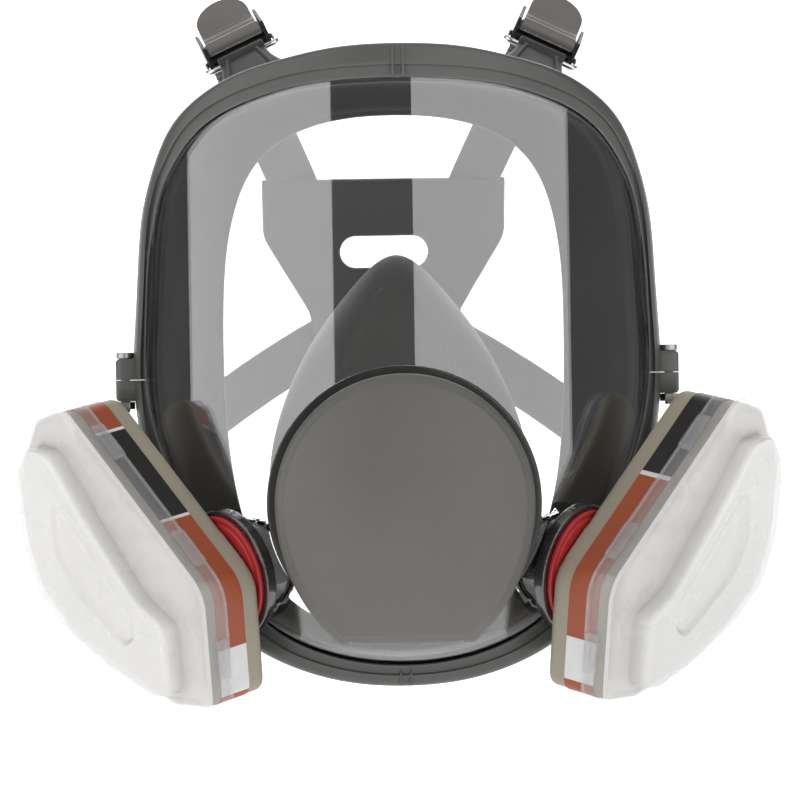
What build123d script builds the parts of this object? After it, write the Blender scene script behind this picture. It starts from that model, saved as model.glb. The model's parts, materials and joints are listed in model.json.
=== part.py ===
from build123d import *
from math import sin, cos, atan2, asin, sqrt, radians, degrees, hypot
import os

# ---------------------------------------------------------------------------
# Full face respirator with two bayonet cartridges.
# Row frame: +X to the right as seen from the front, the lens faces -Y, +Z up.
# Origin: centre of the face opening, in the plane of the seal's side rims.
# Everything is in millimetres.
# ---------------------------------------------------------------------------

# ---- driving dimensions ----
R_LENS = 94.0          # outer radius of the wrap-round lens
LENS_AXIS_Y = -7.0     # the lens is turned about a vertical axis here
LENS_WALL = 2.2
Z_CHIN = -45.0         # below this height the lens curves in to the chin
R_CHIN = 112.0         # radius of that curve, side view
FRAME_PROUD = 3.2      # frame lip stands this far off the lens
GAP = 0.3              # clearance between neighbouring pieces
SPLIT_Z = -3.0         # joint between upper and lower frame halves

ADAPT_Z = -43.0        # height of the centre adapter's axis
ADAPT_R = 43.0
COVER_R = 40.4
COVER_CROWN_Y = -127.0
COVER_BACK_Y = -106.3

PORT_P = (-57.5, -89.2, -65.4)       # left port, face of the red gasket
PORT_AZ, PORT_EL = 52.0, -12.0       # outward axis: degrees off -Y, degrees up
PORT_NECK_R = 15.0                   # clear neck bonded into the lens
T_CASE_FRONT = 22.0                  # case depth along the port axis
T_SKIRT = 15.0                       # rear rim of the retainer's skirt
T_LEVEL = 24.0                       # retainer's lower front level
T_TOP = 29.5                         # retainer's raised front plateau
WALL_CLEAR = 1.3

STRAP_W, STRAP_T = 19.0, 2.2

os.makedirs("parts", exist_ok=True)


def export(part, label):
    part.label = label
    export_step(part, f"parts/{label}.step")


# ---------------------------------------------------------------------------
# Outlines and reference bodies
# ---------------------------------------------------------------------------
FRAME_HALF = [(0, 101), (22, 99.8), (36, 97.2), (46, 94.8), (54, 92), (62.7, 87.3),
              (72, 79), (78.6, 66), (82.7, 52), (84.8, 32), (86, 15), (86.8, 0),
              (85.6, -16), (82.3, -33), (76.6, -50), (68.8, -66), (59.5, -79),
              (49, -88.6), (36, -95.4), (19, -100.2), (0, -101.7)]
LIP_HALF = [(0, 90.3), (21, 89.6), (33, 88.2), (44.5, 85.4), (56.0, 81.1),
            (64.2, 75.6), (71.0, 67.4), (75.6, 59), (79.2, 46), (81, 35),
            (82.0, 20), (82.4, 5), (81.6, -8), (79.2, -20), (75, -32), (69, -46),
            (61.2, -60), (52.5, -72.5), (43, -82), (31.5, -88.6), (16, -93.2), (0, -94.6)]
FACE_HALF = [(0, 84), (24, 81.5), (44, 71), (54, 52), (58, 22), (57.5, -18),
             (52, -52), (39, -76), (17, -88.5), (0, -91)]


def ring_points(half, inset=0.0):
    """Whole closed outline from its right half, moved inwards by inset."""
    pts = list(half) + [(-x, z) for x, z in reversed(half[1:-1])]
    if not inset:
        return pts
    out = []
    n = len(pts)
    for i, (x, z) in enumerate(pts):
        ax, az = pts[i - 1]
        bx, bz = pts[(i + 1) % n]
        tx, tz = bx - ax, bz - az
        k = hypot(tx, tz)
        # the outline runs clockwise, so the inward normal is (tz, -tx)
        out.append((x + inset * tz / k, z - inset * tx / k))
    return out


FRONT = Plane(origin=(0, 0, 0), x_dir=(1, 0, 0), z_dir=(0, -1, 0))   # local y is +Z


def prism(half, y_back, y_front, inset=0.0):
    """Closed outline extruded from y_back forward to y_front."""
    with BuildPart() as p:
        with BuildSketch(FRONT.offset(-y_back)):
            with BuildLine():
                Spline(*ring_points(half, inset), periodic=True)
            make_face()
        extrude(amount=y_back - y_front)
    return p.part


def lens_body(off):
    """Everything inside the lens' outer surface moved out by off."""
    r = R_LENS + off
    cx = R_LENS - R_CHIN
    rr = R_CHIN + off
    a = radians(46)
    with BuildPart() as p:
        with BuildSketch(Plane(origin=(0, LENS_AXIS_Y, 0), x_dir=(1, 0, 0), z_dir=(0, -1, 0))):
            with BuildLine():
                Line((0, 125), (r, 125))
                Line((r, 125), (r, Z_CHIN))
                ThreePointArc((r, Z_CHIN),
                              (cx + rr * cos(a / 2), Z_CHIN - rr * sin(a / 2)),
                              (cx + rr * cos(a), Z_CHIN - rr * sin(a)))
                Line((cx + rr * cos(a), Z_CHIN - rr * sin(a)), (0, Z_CHIN - rr * sin(a)))
                Line((0, Z_CHIN - rr * sin(a)), (0, 125))
            make_face()
        revolve(axis=Axis((0, LENS_AXIS_Y, 0), (0, 0, 1)))
    return p.part


# left port frame: local x points to the front centre, y up, z outward
_az, _el = radians(PORT_AZ), radians(PORT_EL)
N_L = (-sin(_az) * cos(_el), -cos(_az) * cos(_el), sin(_el))
PORT_L = Plane(origin=PORT_P, x_dir=(cos(_az), -sin(_az), 0), z_dir=N_L)
ADAPT = Plane(origin=(0, 0, ADAPT_Z), x_dir=(1, 0, 0), z_dir=(0, -1, 0))

body_lens_out = lens_body(0)
body_lens_in = lens_body(-LENS_WALL)


def cyl(plane, radius, t0, t1):
    with BuildPart() as p:
        with BuildSketch(plane.offset(t0)):
            Circle(radius)
        extrude(amount=t1 - t0)
    return p.part


def right(part):
    """The right-hand twin of a left-hand piece."""
    with BuildPart() as p:
        mirror(part, about=Plane.YZ)
    return p.part


# ---------------------------------------------------------------------------
# Lens
# ---------------------------------------------------------------------------
with BuildPart() as lens:
    add(body_lens_out)
    add(body_lens_in, mode=Mode.SUBTRACT)
    add(prism(FRAME_HALF, -9, -120, 3.2), mode=Mode.INTERSECT)
    add(cyl(ADAPT, 34.0, 60, 120), mode=Mode.SUBTRACT)
    add(cyl(PORT_L, PORT_NECK_R + 0.15, -24, 4), mode=Mode.SUBTRACT)
    add(right(cyl(PORT_L, PORT_NECK_R + 0.15, -24, 4)), mode=Mode.SUBTRACT)
export(lens.part, "lens")

# ---------------------------------------------------------------------------
# Two-piece frame with an ear, a screw and a nut on each side
# ---------------------------------------------------------------------------
EAR_X, EAR_Y = 89.6, -46.5
FRAME_DEPTH = 12.0
body_frame_out = lens_body(FRAME_PROUD)
body_frame_back = Pos(0, FRAME_DEPTH, 0) * body_frame_out
with BuildPart() as frame_ring:
    add(body_frame_out)
    add(body_frame_back, mode=Mode.SUBTRACT)
    add(prism(FRAME_HALF, -9, -125, 0), mode=Mode.INTERSECT)
    # seat for the lens edge, then the window inside the lip
    with BuildPart(mode=Mode.PRIVATE) as seat:
        add(prism(FRAME_HALF, -9, -125, 2.9))
        add(lens_body(GAP / 2), mode=Mode.INTERSECT)
    add(seat.part, mode=Mode.SUBTRACT)
    add(prism(LIP_HALF, -9, -125, 0), mode=Mode.SUBTRACT)
    for sx in (1, -1):
        with BuildSketch(Plane.XY.offset(SPLIT_Z - 7)):
            with Locations((sx * (EAR_X - 1.2), EAR_Y)):
                RectangleRounded(8.4, 9.4, 2.2)
        extrude(amount=14)
    for sx in (1, -1):
        with Locations(Location((sx * EAR_X, EAR_Y, SPLIT_Z))):
            Cylinder(1.6, 40, mode=Mode.SUBTRACT)
    # the lip is scalloped where the two ports stand close to it
    with BuildPart(mode=Mode.PRIVATE) as port_room:
        add(cyl(PORT_L, PORT_NECK_R + 0.6, -24, 4))
        add(cyl(PORT_L, 21.2, -6.3, 4))
        add(cyl(PORT_L, 95.0, -1.0, 12))
    add(port_room.part, mode=Mode.SUBTRACT)
    add(right(port_room.part), mode=Mode.SUBTRACT)

with BuildPart() as frame_upper:
    add(frame_ring.part)
    split(bisect_by=Plane.XY.offset(SPLIT_Z + 0.1), keep=Keep.TOP)
export(frame_upper.part, "frame_upper")

with BuildPart() as frame_lower:
    add(frame_ring.part)
    split(bisect_by=Plane.XY.offset(SPLIT_Z - 0.1), keep=Keep.BOTTOM)
export(frame_lower.part, "frame_lower")

with BuildPart() as frame_screws:
    for sx in (1, -1):
        with BuildSketch(Plane.XY.offset(SPLIT_Z - 10.6)):
            with Locations((sx * EAR_X, EAR_Y)):
                Circle(1.5)
        extrude(amount=19.6)
        with BuildSketch(Plane.XY.offset(SPLIT_Z + 7.05)):
            with Locations((sx * EAR_X, EAR_Y)):
                Circle(2.9)
        extrude(amount=2.0)
        with BuildSketch(Plane.XY.offset(SPLIT_Z + 9.05)):
            with Locations((sx * EAR_X, EAR_Y)):
                Rectangle(4.4, 0.8)
        extrude(amount=-0.9, mode=Mode.SUBTRACT)
export(frame_screws.part, "frame_screws")

with BuildPart() as frame_nuts:
    for sx in (1, -1):
        with BuildSketch(Plane.XY.offset(SPLIT_Z - 9.6)):
            with Locations((sx * EAR_X, EAR_Y)):
                RegularPolygon(3.2, 6)
                Circle(1.55, mode=Mode.SUBTRACT)
        extrude(amount=2.5)
export(frame_nuts.part, "frame_nuts")

# ---------------------------------------------------------------------------
# Buckle frames of reference (left side), x across the strap, y along it, z out
# ---------------------------------------------------------------------------
UP_B = Vector(-49.5, -34.0, 104.0)
UP_D = Vector(-0.14, 0.945, 0.30).normalized()
UP_W = Vector(0.906, 0.0, 0.423)
UP_W = (UP_W - UP_D * UP_W.dot(UP_D)).normalized()
UPPER = Plane(origin=UP_B, x_dir=UP_W, z_dir=UP_W.cross(UP_D))

LOW_B = Vector(-103.0, 14.0, -68.0)
LOW_D = Vector(-0.30, 0.93, 0.05).normalized()
LOW_E = Vector(-31.5, 132.6, 8.0)            # where the lower strap meets the pad
LOW_S = LOW_B + LOW_D * 14.0
LOW_W = (LOW_E - LOW_S).cross(LOW_D).normalized()
LOWER = Plane(origin=LOW_B, x_dir=LOW_W, z_dir=LOW_W.cross(LOW_D))


def local_box(plane, x0, x1, y0, y1, z0, z1):
    with BuildPart() as p:
        with BuildSketch(plane.offset(z0)):
            with Locations(((x0 + x1) / 2, (y0 + y1) / 2)):
                Rectangle(x1 - x0, y1 - y0)
        extrude(amount=z1 - z0)
    return p.part


def cross_rod(plane, y, z, radius, x0, x1):
    """Rod along the local x axis of a plane."""
    o = plane.from_local_coords((x0, y, z))
    rod_plane = Plane(origin=o, x_dir=plane.y_dir, z_dir=plane.x_dir)
    with BuildPart() as p:
        with BuildSketch(rod_plane):
            Circle(radius)
        extrude(amount=x1 - x0)
    return p.part


# ---------------------------------------------------------------------------
# Face seal: wall behind the lens, turned-in rim round the face, four tabs
# ---------------------------------------------------------------------------
REAR = [(112, -46), (84, -31), (45, -9), (8, 0), (-45, 0), (-82, -7), (-112, -22)]


def rear_region(shift):
    """Space in front of the curved rear rim, moved forward by shift."""
    with BuildPart() as p:
        with BuildSketch(Plane(origin=(-120, 0, 0), x_dir=(0, 1, 0), z_dir=(1, 0, 0))):
            with BuildLine():
                pts = [(y - shift, z) for z, y in REAR]
                Spline(*pts)
                Polyline(pts[-1], (-140, -112), (-140, 112), pts[0])
            make_face()
        extrude(amount=240)
    return p.part


SEAL_INSET = 3.4
with BuildPart() as face_seal:
    add(prism(FRAME_HALF, 6, -120, SEAL_INSET))
    with BuildPart(mode=Mode.PRIVATE) as hollow:
        add(prism(FRAME_HALF, 6, -125, SEAL_INSET + 3.0))
        add(rear_region(3.0), mode=Mode.INTERSECT)
    add(hollow.part, mode=Mode.SUBTRACT)
    add(rear_region(0.0), mode=Mode.INTERSECT)
    add(prism(FACE_HALF, 10, -125, 0), mode=Mode.SUBTRACT)
    # bead that the lens edge beds on
    with BuildPart(mode=Mode.PRIVATE) as bead:
        add(prism(FRAME_HALF, -9, -120, SEAL_INSET))
        add(lens_body(-7.4), mode=Mode.SUBTRACT)
        add(prism(LIP_HALF, -9, -125, 1.5), mode=Mode.SUBTRACT)
    add(bead.part)
    add(lens_body(-LENS_WALL - 0.1), mode=Mode.INTERSECT)
    # strap tabs, each ending in a barrel for the buckle wire
    for plane, reach in ((UPPER, 12.0), (LOWER, 12.0)):
        for side in (0, 1):
            tab = local_box(plane, -8.5, 8.5, -reach, -1.5, -1.6, 1.6)
            barrel = cross_rod(plane, 0, 0, 3.1, -8.0, 8.0)
            if side:
                tab, barrel = right(tab), right(barrel)
            add(tab)
            add(barrel)
    # the tabs flare out from behind the frame to the buckles
    for root, tip, across in ((Vector(-43.0, -58.0, 88.5), UP_B - UP_D * 9.0, UP_W),
                              (Vector(-70.0, -20.0, -57.0), LOW_B - LOW_D * 9.0, LOW_W)):
        run = tip - root
        ahead = run.normalized()
        arm_plane = Plane(origin=root, x_dir=across - ahead * across.dot(ahead), z_dir=run)
        with BuildPart(mode=Mode.PRIVATE) as arm:
            with BuildSketch(arm_plane):
                Rectangle(17.0, 3.2)
            extrude(amount=run.length + 1.0)
        add(arm.part)
        add(right(arm.part))
    with BuildPart(mode=Mode.PRIVATE) as wire_holes:
        add(cross_rod(UPPER, 0, 0, 1.15, -12, 12))
        add(cross_rod(LOWER, 0, 0, 1.15, -12, 12))
    add(wire_holes.part, mode=Mode.SUBTRACT)
    add(right(wire_holes.part), mode=Mode.SUBTRACT)
    # nothing of the arms may stand inside the mask
    with BuildPart(mode=Mode.PRIVATE) as inside:
        add(prism(FRAME_HALF, 6, -80, SEAL_INSET + 3.0))
        add(rear_region(3.0), mode=Mode.INTERSECT)
        add(lens_body(-7.4), mode=Mode.INTERSECT)
    add(inside.part, mode=Mode.SUBTRACT)
    add(cyl(PORT_L, PORT_NECK_R + 0.6, -24, 4), mode=Mode.SUBTRACT)
    add(right(cyl(PORT_L, PORT_NECK_R + 0.6, -24, 4)), mode=Mode.SUBTRACT)
export(face_seal.part, "face_seal")

# ---------------------------------------------------------------------------
# Nose cup
# ---------------------------------------------------------------------------
CUP_FRONT = [(0, -11), (16.5, -14.8), (28.6, -26.5), (32, -43), (28.6, -59.5), (16.5, -71.2), (0, -75)]
CUP_MID = [(0, 16), (17, 6), (33, -14), (39.5, -40), (33, -64), (18, -77), (0, -81)]
CUP_REAR = [(0, 37), (14, 27), (30, 5), (41.5, -28), (37, -62), (20, -82), (0, -88)]


def cup_body(inset, y_front, y_mid, y_rear):
    with BuildPart() as p:
        for half, y in ((CUP_FRONT, y_front), (CUP_MID, y_mid), (CUP_REAR, y_rear)):
            with BuildSketch(FRONT.offset(-y)):
                with BuildLine():
                    Spline(*ring_points(half, inset), periodic=True)
                make_face()
        loft()
    return p.part


with BuildPart() as nose_cup:
    add(cup_body(0, -80.5, -66, -44))
    add(cup_body(2.4, -80.5, -66, -44), mode=Mode.SUBTRACT)
export(nose_cup.part, "nose_cup")

# ---------------------------------------------------------------------------
# Centre adapter with its gasket, ring nut, speaking diaphragm and valve
# ---------------------------------------------------------------------------
DIA_Z, VALVE_Z = 16.0, -17.0        # local heights of the two openings
with BuildPart() as center_adapter:
    # flange that seats on the lens
    add(cyl(ADAPT, ADAPT_R, 80, 106))
    add(lens_body(0.15), mode=Mode.SUBTRACT)
    add(cyl(ADAPT, 33.6, 81.5, 106))
    # cup open to the inside, closed by a web in front
    add(cyl(ADAPT, 31.4, 78, 102.5), mode=Mode.SUBTRACT)
    add(cyl(ADAPT, 39.2, 104.2, 108), mode=Mode.SUBTRACT)
    # opening and seat for the speaking diaphragm
    with BuildSketch(ADAPT.offset(101)):
        with Locations((0, DIA_Z - 1)):
            Circle(11.5)
    extrude(amount=6, mode=Mode.SUBTRACT)
    # exhalation port: a ring seat with a four-arm spider
    with BuildSketch(ADAPT.offset(101)):
        with Locations((0, VALVE_Z + 1)):
            Circle(10.5)
            Rectangle(24, 2.2, mode=Mode.SUBTRACT)
            Rectangle(2.2, 24, mode=Mode.SUBTRACT)
    extrude(amount=6, mode=Mode.SUBTRACT)
export(center_adapter.part, "center_adapter")

with BuildPart() as adapter_gasket:
    with BuildSketch(ADAPT.offset(70)):
        Circle(37.0)
        Circle(34.2, mode=Mode.SUBTRACT)
    extrude(amount=40)
    add(lens_body(-LENS_WALL - 0.1), mode=Mode.INTERSECT)
    add(lens_body(-LENS_WALL - 1.9), mode=Mode.SUBTRACT)
export(adapter_gasket.part, "adapter_gasket")

with BuildPart() as adapter_nut:
    with BuildSketch(ADAPT.offset(81.6)):
        RegularPolygon(37.6, 12)
        Circle(33.75, mode=Mode.SUBTRACT)
    extrude(amount=4.6)
    add(lens_body(-LENS_WALL - 2.1), mode=Mode.INTERSECT)
export(adapter_nut.part, "adapter_nut")

with BuildPart() as speaking_diaphragm:
    with BuildSketch(ADAPT.offset(104.3)):
        with Locations((0, DIA_Z - 1)):
            Circle(15.0)
    extrude(amount=0.6)
    with BuildSketch(ADAPT.offset(104.9)):
        with Locations((0, DIA_Z - 1)):
            Circle(15.0)
            Circle(12.6, mode=Mode.SUBTRACT)
    extrude(amount=1.6)
export(speaking_diaphragm.part, "speaking_diaphragm")

with BuildPart() as exhalation_valve:
    with BuildSketch(ADAPT.offset(104.35)):
        with Locations((0, VALVE_Z + 1)):
            Circle(12.4)
    extrude(amount=0.8)
    with BuildSketch(ADAPT.offset(105.15)):
        with Locations((0, VALVE_Z + 1)):
            Circle(2.0)
    extrude(amount=1.2)
export(exhalation_valve.part, "exhalation_valve")

# ---------------------------------------------------------------------------
# Adapter cover: domed shield, round above, tapering to a flat open outlet
# ---------------------------------------------------------------------------
def cover_body(inset, y_back, crown):
    r = COVER_R - inset
    k = r / COVER_R
    with BuildPart() as p:
        with BuildSketch(ADAPT.offset(-y_back)):
            with BuildLine():
                ThreePointArc((-r, -2), (0, r), (r, -2))
                ThreePointArc((r, -2), (34.6 * k, -25.5 * k), (21.2 * k, -43.6 * k))
                Line((21.2 * k, -43.6 * k), (-21.2 * k, -43.6 * k))
                ThreePointArc((-21.2 * k, -43.6 * k), (-34.6 * k, -25.5 * k), (-r, -2))
            make_face()
        extrude(amount=y_back - crown + 2)
        # the dome itself is a body of revolution
        with BuildSketch(Plane(origin=(0, 0, ADAPT_Z), x_dir=(1, 0, 0), z_dir=(0, 0, 1)),
                         mode=Mode.PRIVATE) as dome:
            with BuildLine():
                ThreePointArc((0, crown), (27, crown + 4.6), (50, crown + 18.5))
                Line((50, crown + 18.5), (50, y_back + 12))
                Line((50, y_back + 12), (0, y_back + 12))
                Line((0, y_back + 12), (0, crown))
            make_face()
        revolve(dome.sketch, axis=Axis((0, 0, ADAPT_Z), (0, 1, 0)), mode=Mode.INTERSECT)
    return p.part


with BuildPart() as adapter_cover:
    add(cover_body(0, COVER_BACK_Y, COVER_CROWN_Y))
    front_rim = adapter_cover.edges().filter_by(
        lambda e: COVER_CROWN_Y + 1.0 < e.center().Y < COVER_BACK_Y - 2)
    fillet(front_rim, 1.6)
    add(cover_body(2.0, COVER_BACK_Y + 4, COVER_CROWN_Y + 2.0), mode=Mode.SUBTRACT)
    # outlet: the underside is open between two side posts
    with BuildSketch(Plane.XY.offset(ADAPT_Z - 50)):
        with Locations((0, COVER_BACK_Y - 1.8)):
            Rectangle(36, 5.6)
    extrude(amount=14, mode=Mode.SUBTRACT)
export(adapter_cover.part, "adapter_cover")

# ---------------------------------------------------------------------------
# Left port: bayonet connector, red gasket, inhalation valve
# ---------------------------------------------------------------------------
LUG_A = (30, 150, 270)
LUG_R, SPIGOT_R, SPIGOT_BORE = 12.6, 10.6, 8.6
with BuildPart() as inhalation_port_left:
    add(cyl(PORT_L, 20.5, -5.5, -1.8))
    add(lens_body(0.15), mode=Mode.SUBTRACT)
    with BuildPart(mode=Mode.PRIVATE) as neck:
        add(cyl(PORT_L, PORT_NECK_R, -24, -3))
        add(lens_body(-LENS_WALL - 2.2), mode=Mode.SUBTRACT)
    add(neck.part)
    add(cyl(PORT_L, SPIGOT_R, -1.8, 6.8))
    # three bayonet lugs
    for a in LUG_A:
        with BuildSketch(PORT_L.offset(3.4)):
            with BuildLine():
                a0, a1 = radians(a - 12), radians(a + 12)
                am = radians(a)
                ro, ri = LUG_R, SPIGOT_R - 0.7
                ThreePointArc((ro * cos(a0), ro * sin(a0)), (ro * cos(am), ro * sin(am)),
                              (ro * cos(a1), ro * sin(a1)))
                Line((ro * cos(a1), ro * sin(a1)), (ri * cos(a1), ri * sin(a1)))
                Line((ri * cos(a1), ri * sin(a1)), (ri * cos(a0), ri * sin(a0)))
                Line((ri * cos(a0), ri * sin(a0)), (ro * cos(a0), ro * sin(a0)))
            make_face()
        extrude(amount=2.2)
    # bore, leaving a spider for the valve
    add(cyl(PORT_L, 11.6, -24, -5.4), mode=Mode.SUBTRACT)
    add(cyl(PORT_L, SPIGOT_BORE, -4.0, 8), mode=Mode.SUBTRACT)
    add(cyl(ADAPT, ADAPT_R + 0.5, 60, 106.5), mode=Mode.SUBTRACT)
    with BuildSketch(PORT_L.offset(-6)):
        Circle(SPIGOT_BORE)
        Rectangle(22, 2.0, mode=Mode.SUBTRACT)
        Rectangle(2.0, 22, mode=Mode.SUBTRACT)
    extrude(amount=3, mode=Mode.SUBTRACT)
export(inhalation_port_left.part, "inhalation_port_left")

with BuildPart() as port_gasket_left:
    with BuildSketch(PORT_L.offset(-1.7)):
        Circle(20.0)
        Circle(SPIGOT_R + 0.2, mode=Mode.SUBTRACT)
    extrude(amount=1.7)
export(port_gasket_left.part, "port_gasket_left")

with BuildPart() as inhalation_valve_left:
    with BuildSketch(PORT_L.offset(-6.4)):
        Circle(11.1)
    extrude(amount=0.8)
export(inhalation_valve_left.part, "inhalation_valve_left")

# ---------------------------------------------------------------------------
# Left cartridge.  Outlines are (u, v): u away from the front centre, v up.
# ---------------------------------------------------------------------------
SKIRT = [(-21.5, 1), (36, 60.5), (56, 57.5), (68.5, 43), (71.5, 12), (56, -14.5),
         (34, -28), (8, -38.5), (-14.5, -38.5)]
SKIRT_R = [13, 10, 12, 14, 18, 20, 20, 12, 7]
PLATEAU = [(-5, -9), (8, -1), (28, 26), (41, 46), (52, 48.5), (62.5, 39), (66, 16),
           (62, -1), (50, -12.5), (29, -24), (8, -32), (-1.5, -32)]
PLATEAU_R = [4, 10, 24, 8, 6, 8, 14, 14, 16, 16, 8, 4]
RECESS = [(-2.5, -8), (15, 3), (47, 30), (53.5, 21), (52.5, 4), (43, -6), (22, -18.5), (2.5, -24.5)]
RECESS_R = [4, 14, 5, 8, 9, 16, 16, 4]


def flat_outline(plane, t, pts, radii, inset=0.0):
    """Rounded polygon face in the port frame, moved inwards by inset."""
    n = len(pts)
    lines = []
    for i in range(n):
        (x0, y0), (x1, y1) = pts[i], pts[(i + 1) % n]
        k = hypot(x1 - x0, y1 - y0)
        # the (u, v) points run clockwise: inward normal is (dy, -dx)
        nx, ny = (y1 - y0) / k, -(x1 - x0) / k
        lines.append((x0 + nx * inset, y0 + ny * inset, (x1 - x0) / k, (y1 - y0) / k))
    new = []
    for i in range(n):
        ax, ay, adx, ady = lines[i - 1]
        bx, by, bdx, bdy = lines[i]
        det = adx * bdy - ady * bdx
        s = ((bx - ax) * bdy - (by - ay) * bdx) / det
        new.append((ax + adx * s, ay + ady * s))
    with BuildSketch(plane.offset(t)) as sk:
        with BuildLine():
            FilletPolyline(*[(-u, v) for u, v in new],
                           radius=[max(0.8, r - inset) for r in radii], close=True)
        make_face()
    return sk.sketch


CASE_INSET = 1.95


def cartridge_case(notch):
    """Open-fronted case; notch is the angle from each lug to its entry notch."""
    with BuildPart() as case:
        extrude(flat_outline(PORT_L, GAP, SKIRT, SKIRT_R, CASE_INSET), amount=T_CASE_FRONT - GAP)
        back = case.faces().filter_by(lambda f: abs(
            (f.center() - PORT_L.origin).dot(PORT_L.z_dir) - GAP) < 0.01)
        fillet(back.edges(), 2.6)
        extrude(flat_outline(PORT_L, 2.1, SKIRT, SKIRT_R, CASE_INSET + 1.7), amount=T_CASE_FRONT,
                mode=Mode.SUBTRACT)
        # socket for the bayonet: sleeve, entry hole with three notches, perforated end
        with BuildPart(mode=Mode.PRIVATE) as sleeve:
            add(cyl(PORT_L, 15.4, 1.0, 9.4))
            extrude(flat_outline(PORT_L, 0, SKIRT, SKIRT_R, CASE_INSET + 0.1), amount=12,
                    mode=Mode.INTERSECT)
        add(sleeve.part)
        add(cyl(PORT_L, LUG_R + 0.5, 3.0, 7.8), mode=Mode.SUBTRACT)
        with BuildSketch(PORT_L.offset(0)):
            Circle(SPIGOT_R + 0.4)
            for a in LUG_A:
                b = radians(a + notch)
                with Locations(Location((11.4 * cos(b), 11.4 * sin(b)), a + notch)):
                    Rectangle(3.4, 6.0)
        extrude(amount=4, mode=Mode.SUBTRACT)
        with BuildSketch(PORT_L.offset(7)):
            with PolarLocations(7.0, 6):
                Circle(2.4)
            Circle(2.4)
        extrude(amount=4, mode=Mode.SUBTRACT)
    return case.part


# both cartridges unlock the same way round, so their sockets are not mirror images
case_left = cartridge_case(30)
export(case_left, "cartridge_case_left")
export(right(cartridge_case(-30)), "cartridge_case_right")

with BuildPart() as carbon_bed_left:
    extrude(flat_outline(PORT_L, 9.7, SKIRT, SKIRT_R, CASE_INSET + 2.0), amount=10.5)
export(carbon_bed_left.part, "carbon_bed_left")

with BuildPart() as cartridge_lid_left:
    extrude(flat_outline(PORT_L, 20.4, SKIRT, SKIRT_R, CASE_INSET + 2.0), amount=1.5)
    with BuildSketch(PORT_L.offset(20)):
        with Locations((-28, 8)):
            with GridLocations(10, 10, 6, 5):
                SlotOverall(7.2, 3.0)
    extrude(amount=3, mode=Mode.SUBTRACT)
export(cartridge_lid_left.part, "cartridge_lid_left")

with BuildPart() as cartridge_label_left:
    extrude(flat_outline(PORT_L, 5.2, SKIRT, SKIRT_R, CASE_INSET - 0.3), amount=13.2)
    extrude(flat_outline(PORT_L, 5.0, SKIRT, SKIRT_R, CASE_INSET - 0.05), amount=14,
            mode=Mode.SUBTRACT)
export(cartridge_label_left.part, "cartridge_label_left")

with BuildPart() as prefilter_left:
    extrude(flat_outline(PORT_L, T_CASE_FRONT + GAP, PLATEAU, PLATEAU_R, 1.8), amount=4.2)
export(prefilter_left.part, "prefilter_left")

with BuildPart() as retainer_left:
    extrude(flat_outline(PORT_L, T_SKIRT, SKIRT, SKIRT_R, 0), amount=T_LEVEL - T_SKIRT)
    level = retainer_left.faces().filter_by(lambda f: abs(
        (f.center() - PORT_L.origin).dot(PORT_L.z_dir) - T_LEVEL) < 0.01)
    fillet(level.edges(), 1.6)
    extrude(flat_outline(PORT_L, T_LEVEL - 0.5, PLATEAU, PLATEAU_R, 0), amount=T_TOP - T_LEVEL + 0.5)
    top = retainer_left.faces().filter_by(lambda f: abs(
        (f.center() - PORT_L.origin).dot(PORT_L.z_dir) - T_TOP) < 0.01)
    fillet(top.edges(), 1.5)
    extrude(flat_outline(PORT_L, T_TOP - 1.6, RECESS, RECESS_R, 0), amount=4, mode=Mode.SUBTRACT)
    # inside: room for the case front, then for the filter pad
    extrude(flat_outline(PORT_L, T_SKIRT - 1, SKIRT, SKIRT_R, WALL_CLEAR),
            amount=T_LEVEL - WALL_CLEAR - T_SKIRT + 1, mode=Mode.SUBTRACT)
    extrude(flat_outline(PORT_L, T_LEVEL - 2, PLATEAU, PLATEAU_R, 1.4),
            amount=T_TOP - 1.6 - 1.3 - T_LEVEL + 2, mode=Mode.SUBTRACT)
    # air slots behind the plateau's shoulder
    with BuildSketch(PORT_L.offset(T_LEVEL - 3)):
        for u, v, a in ((1, 8, 44), (12, 22, 50), (23, 36, 52)):
            with Locations(Location((-(u - 3.0), v + 3.0), 180 - a)):
                SlotOverall(9.5, 1.8)
    extrude(amount=4, mode=Mode.SUBTRACT)
export(retainer_left.part, "retainer_left")

# right-hand twins
for src, name in ((inhalation_port_left, "inhalation_port"), (port_gasket_left, "port_gasket"),
                  (inhalation_valve_left, "inhalation_valve"),
                  (carbon_bed_left, "carbon_bed"),
                  (cartridge_lid_left, "cartridge_lid"), (cartridge_label_left, "cartridge_label"),
                  (prefilter_left, "prefilter"), (retainer_left, "retainer")):
    export(right(src.part), name + "_right")

# ---------------------------------------------------------------------------
# Buckles: wire loop, buckle body, lever with thumb tab
# ---------------------------------------------------------------------------
PIVOT_Y, PIVOT_Z = 7.6, 5.0         # lever pivot in the buckle's own frame


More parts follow.
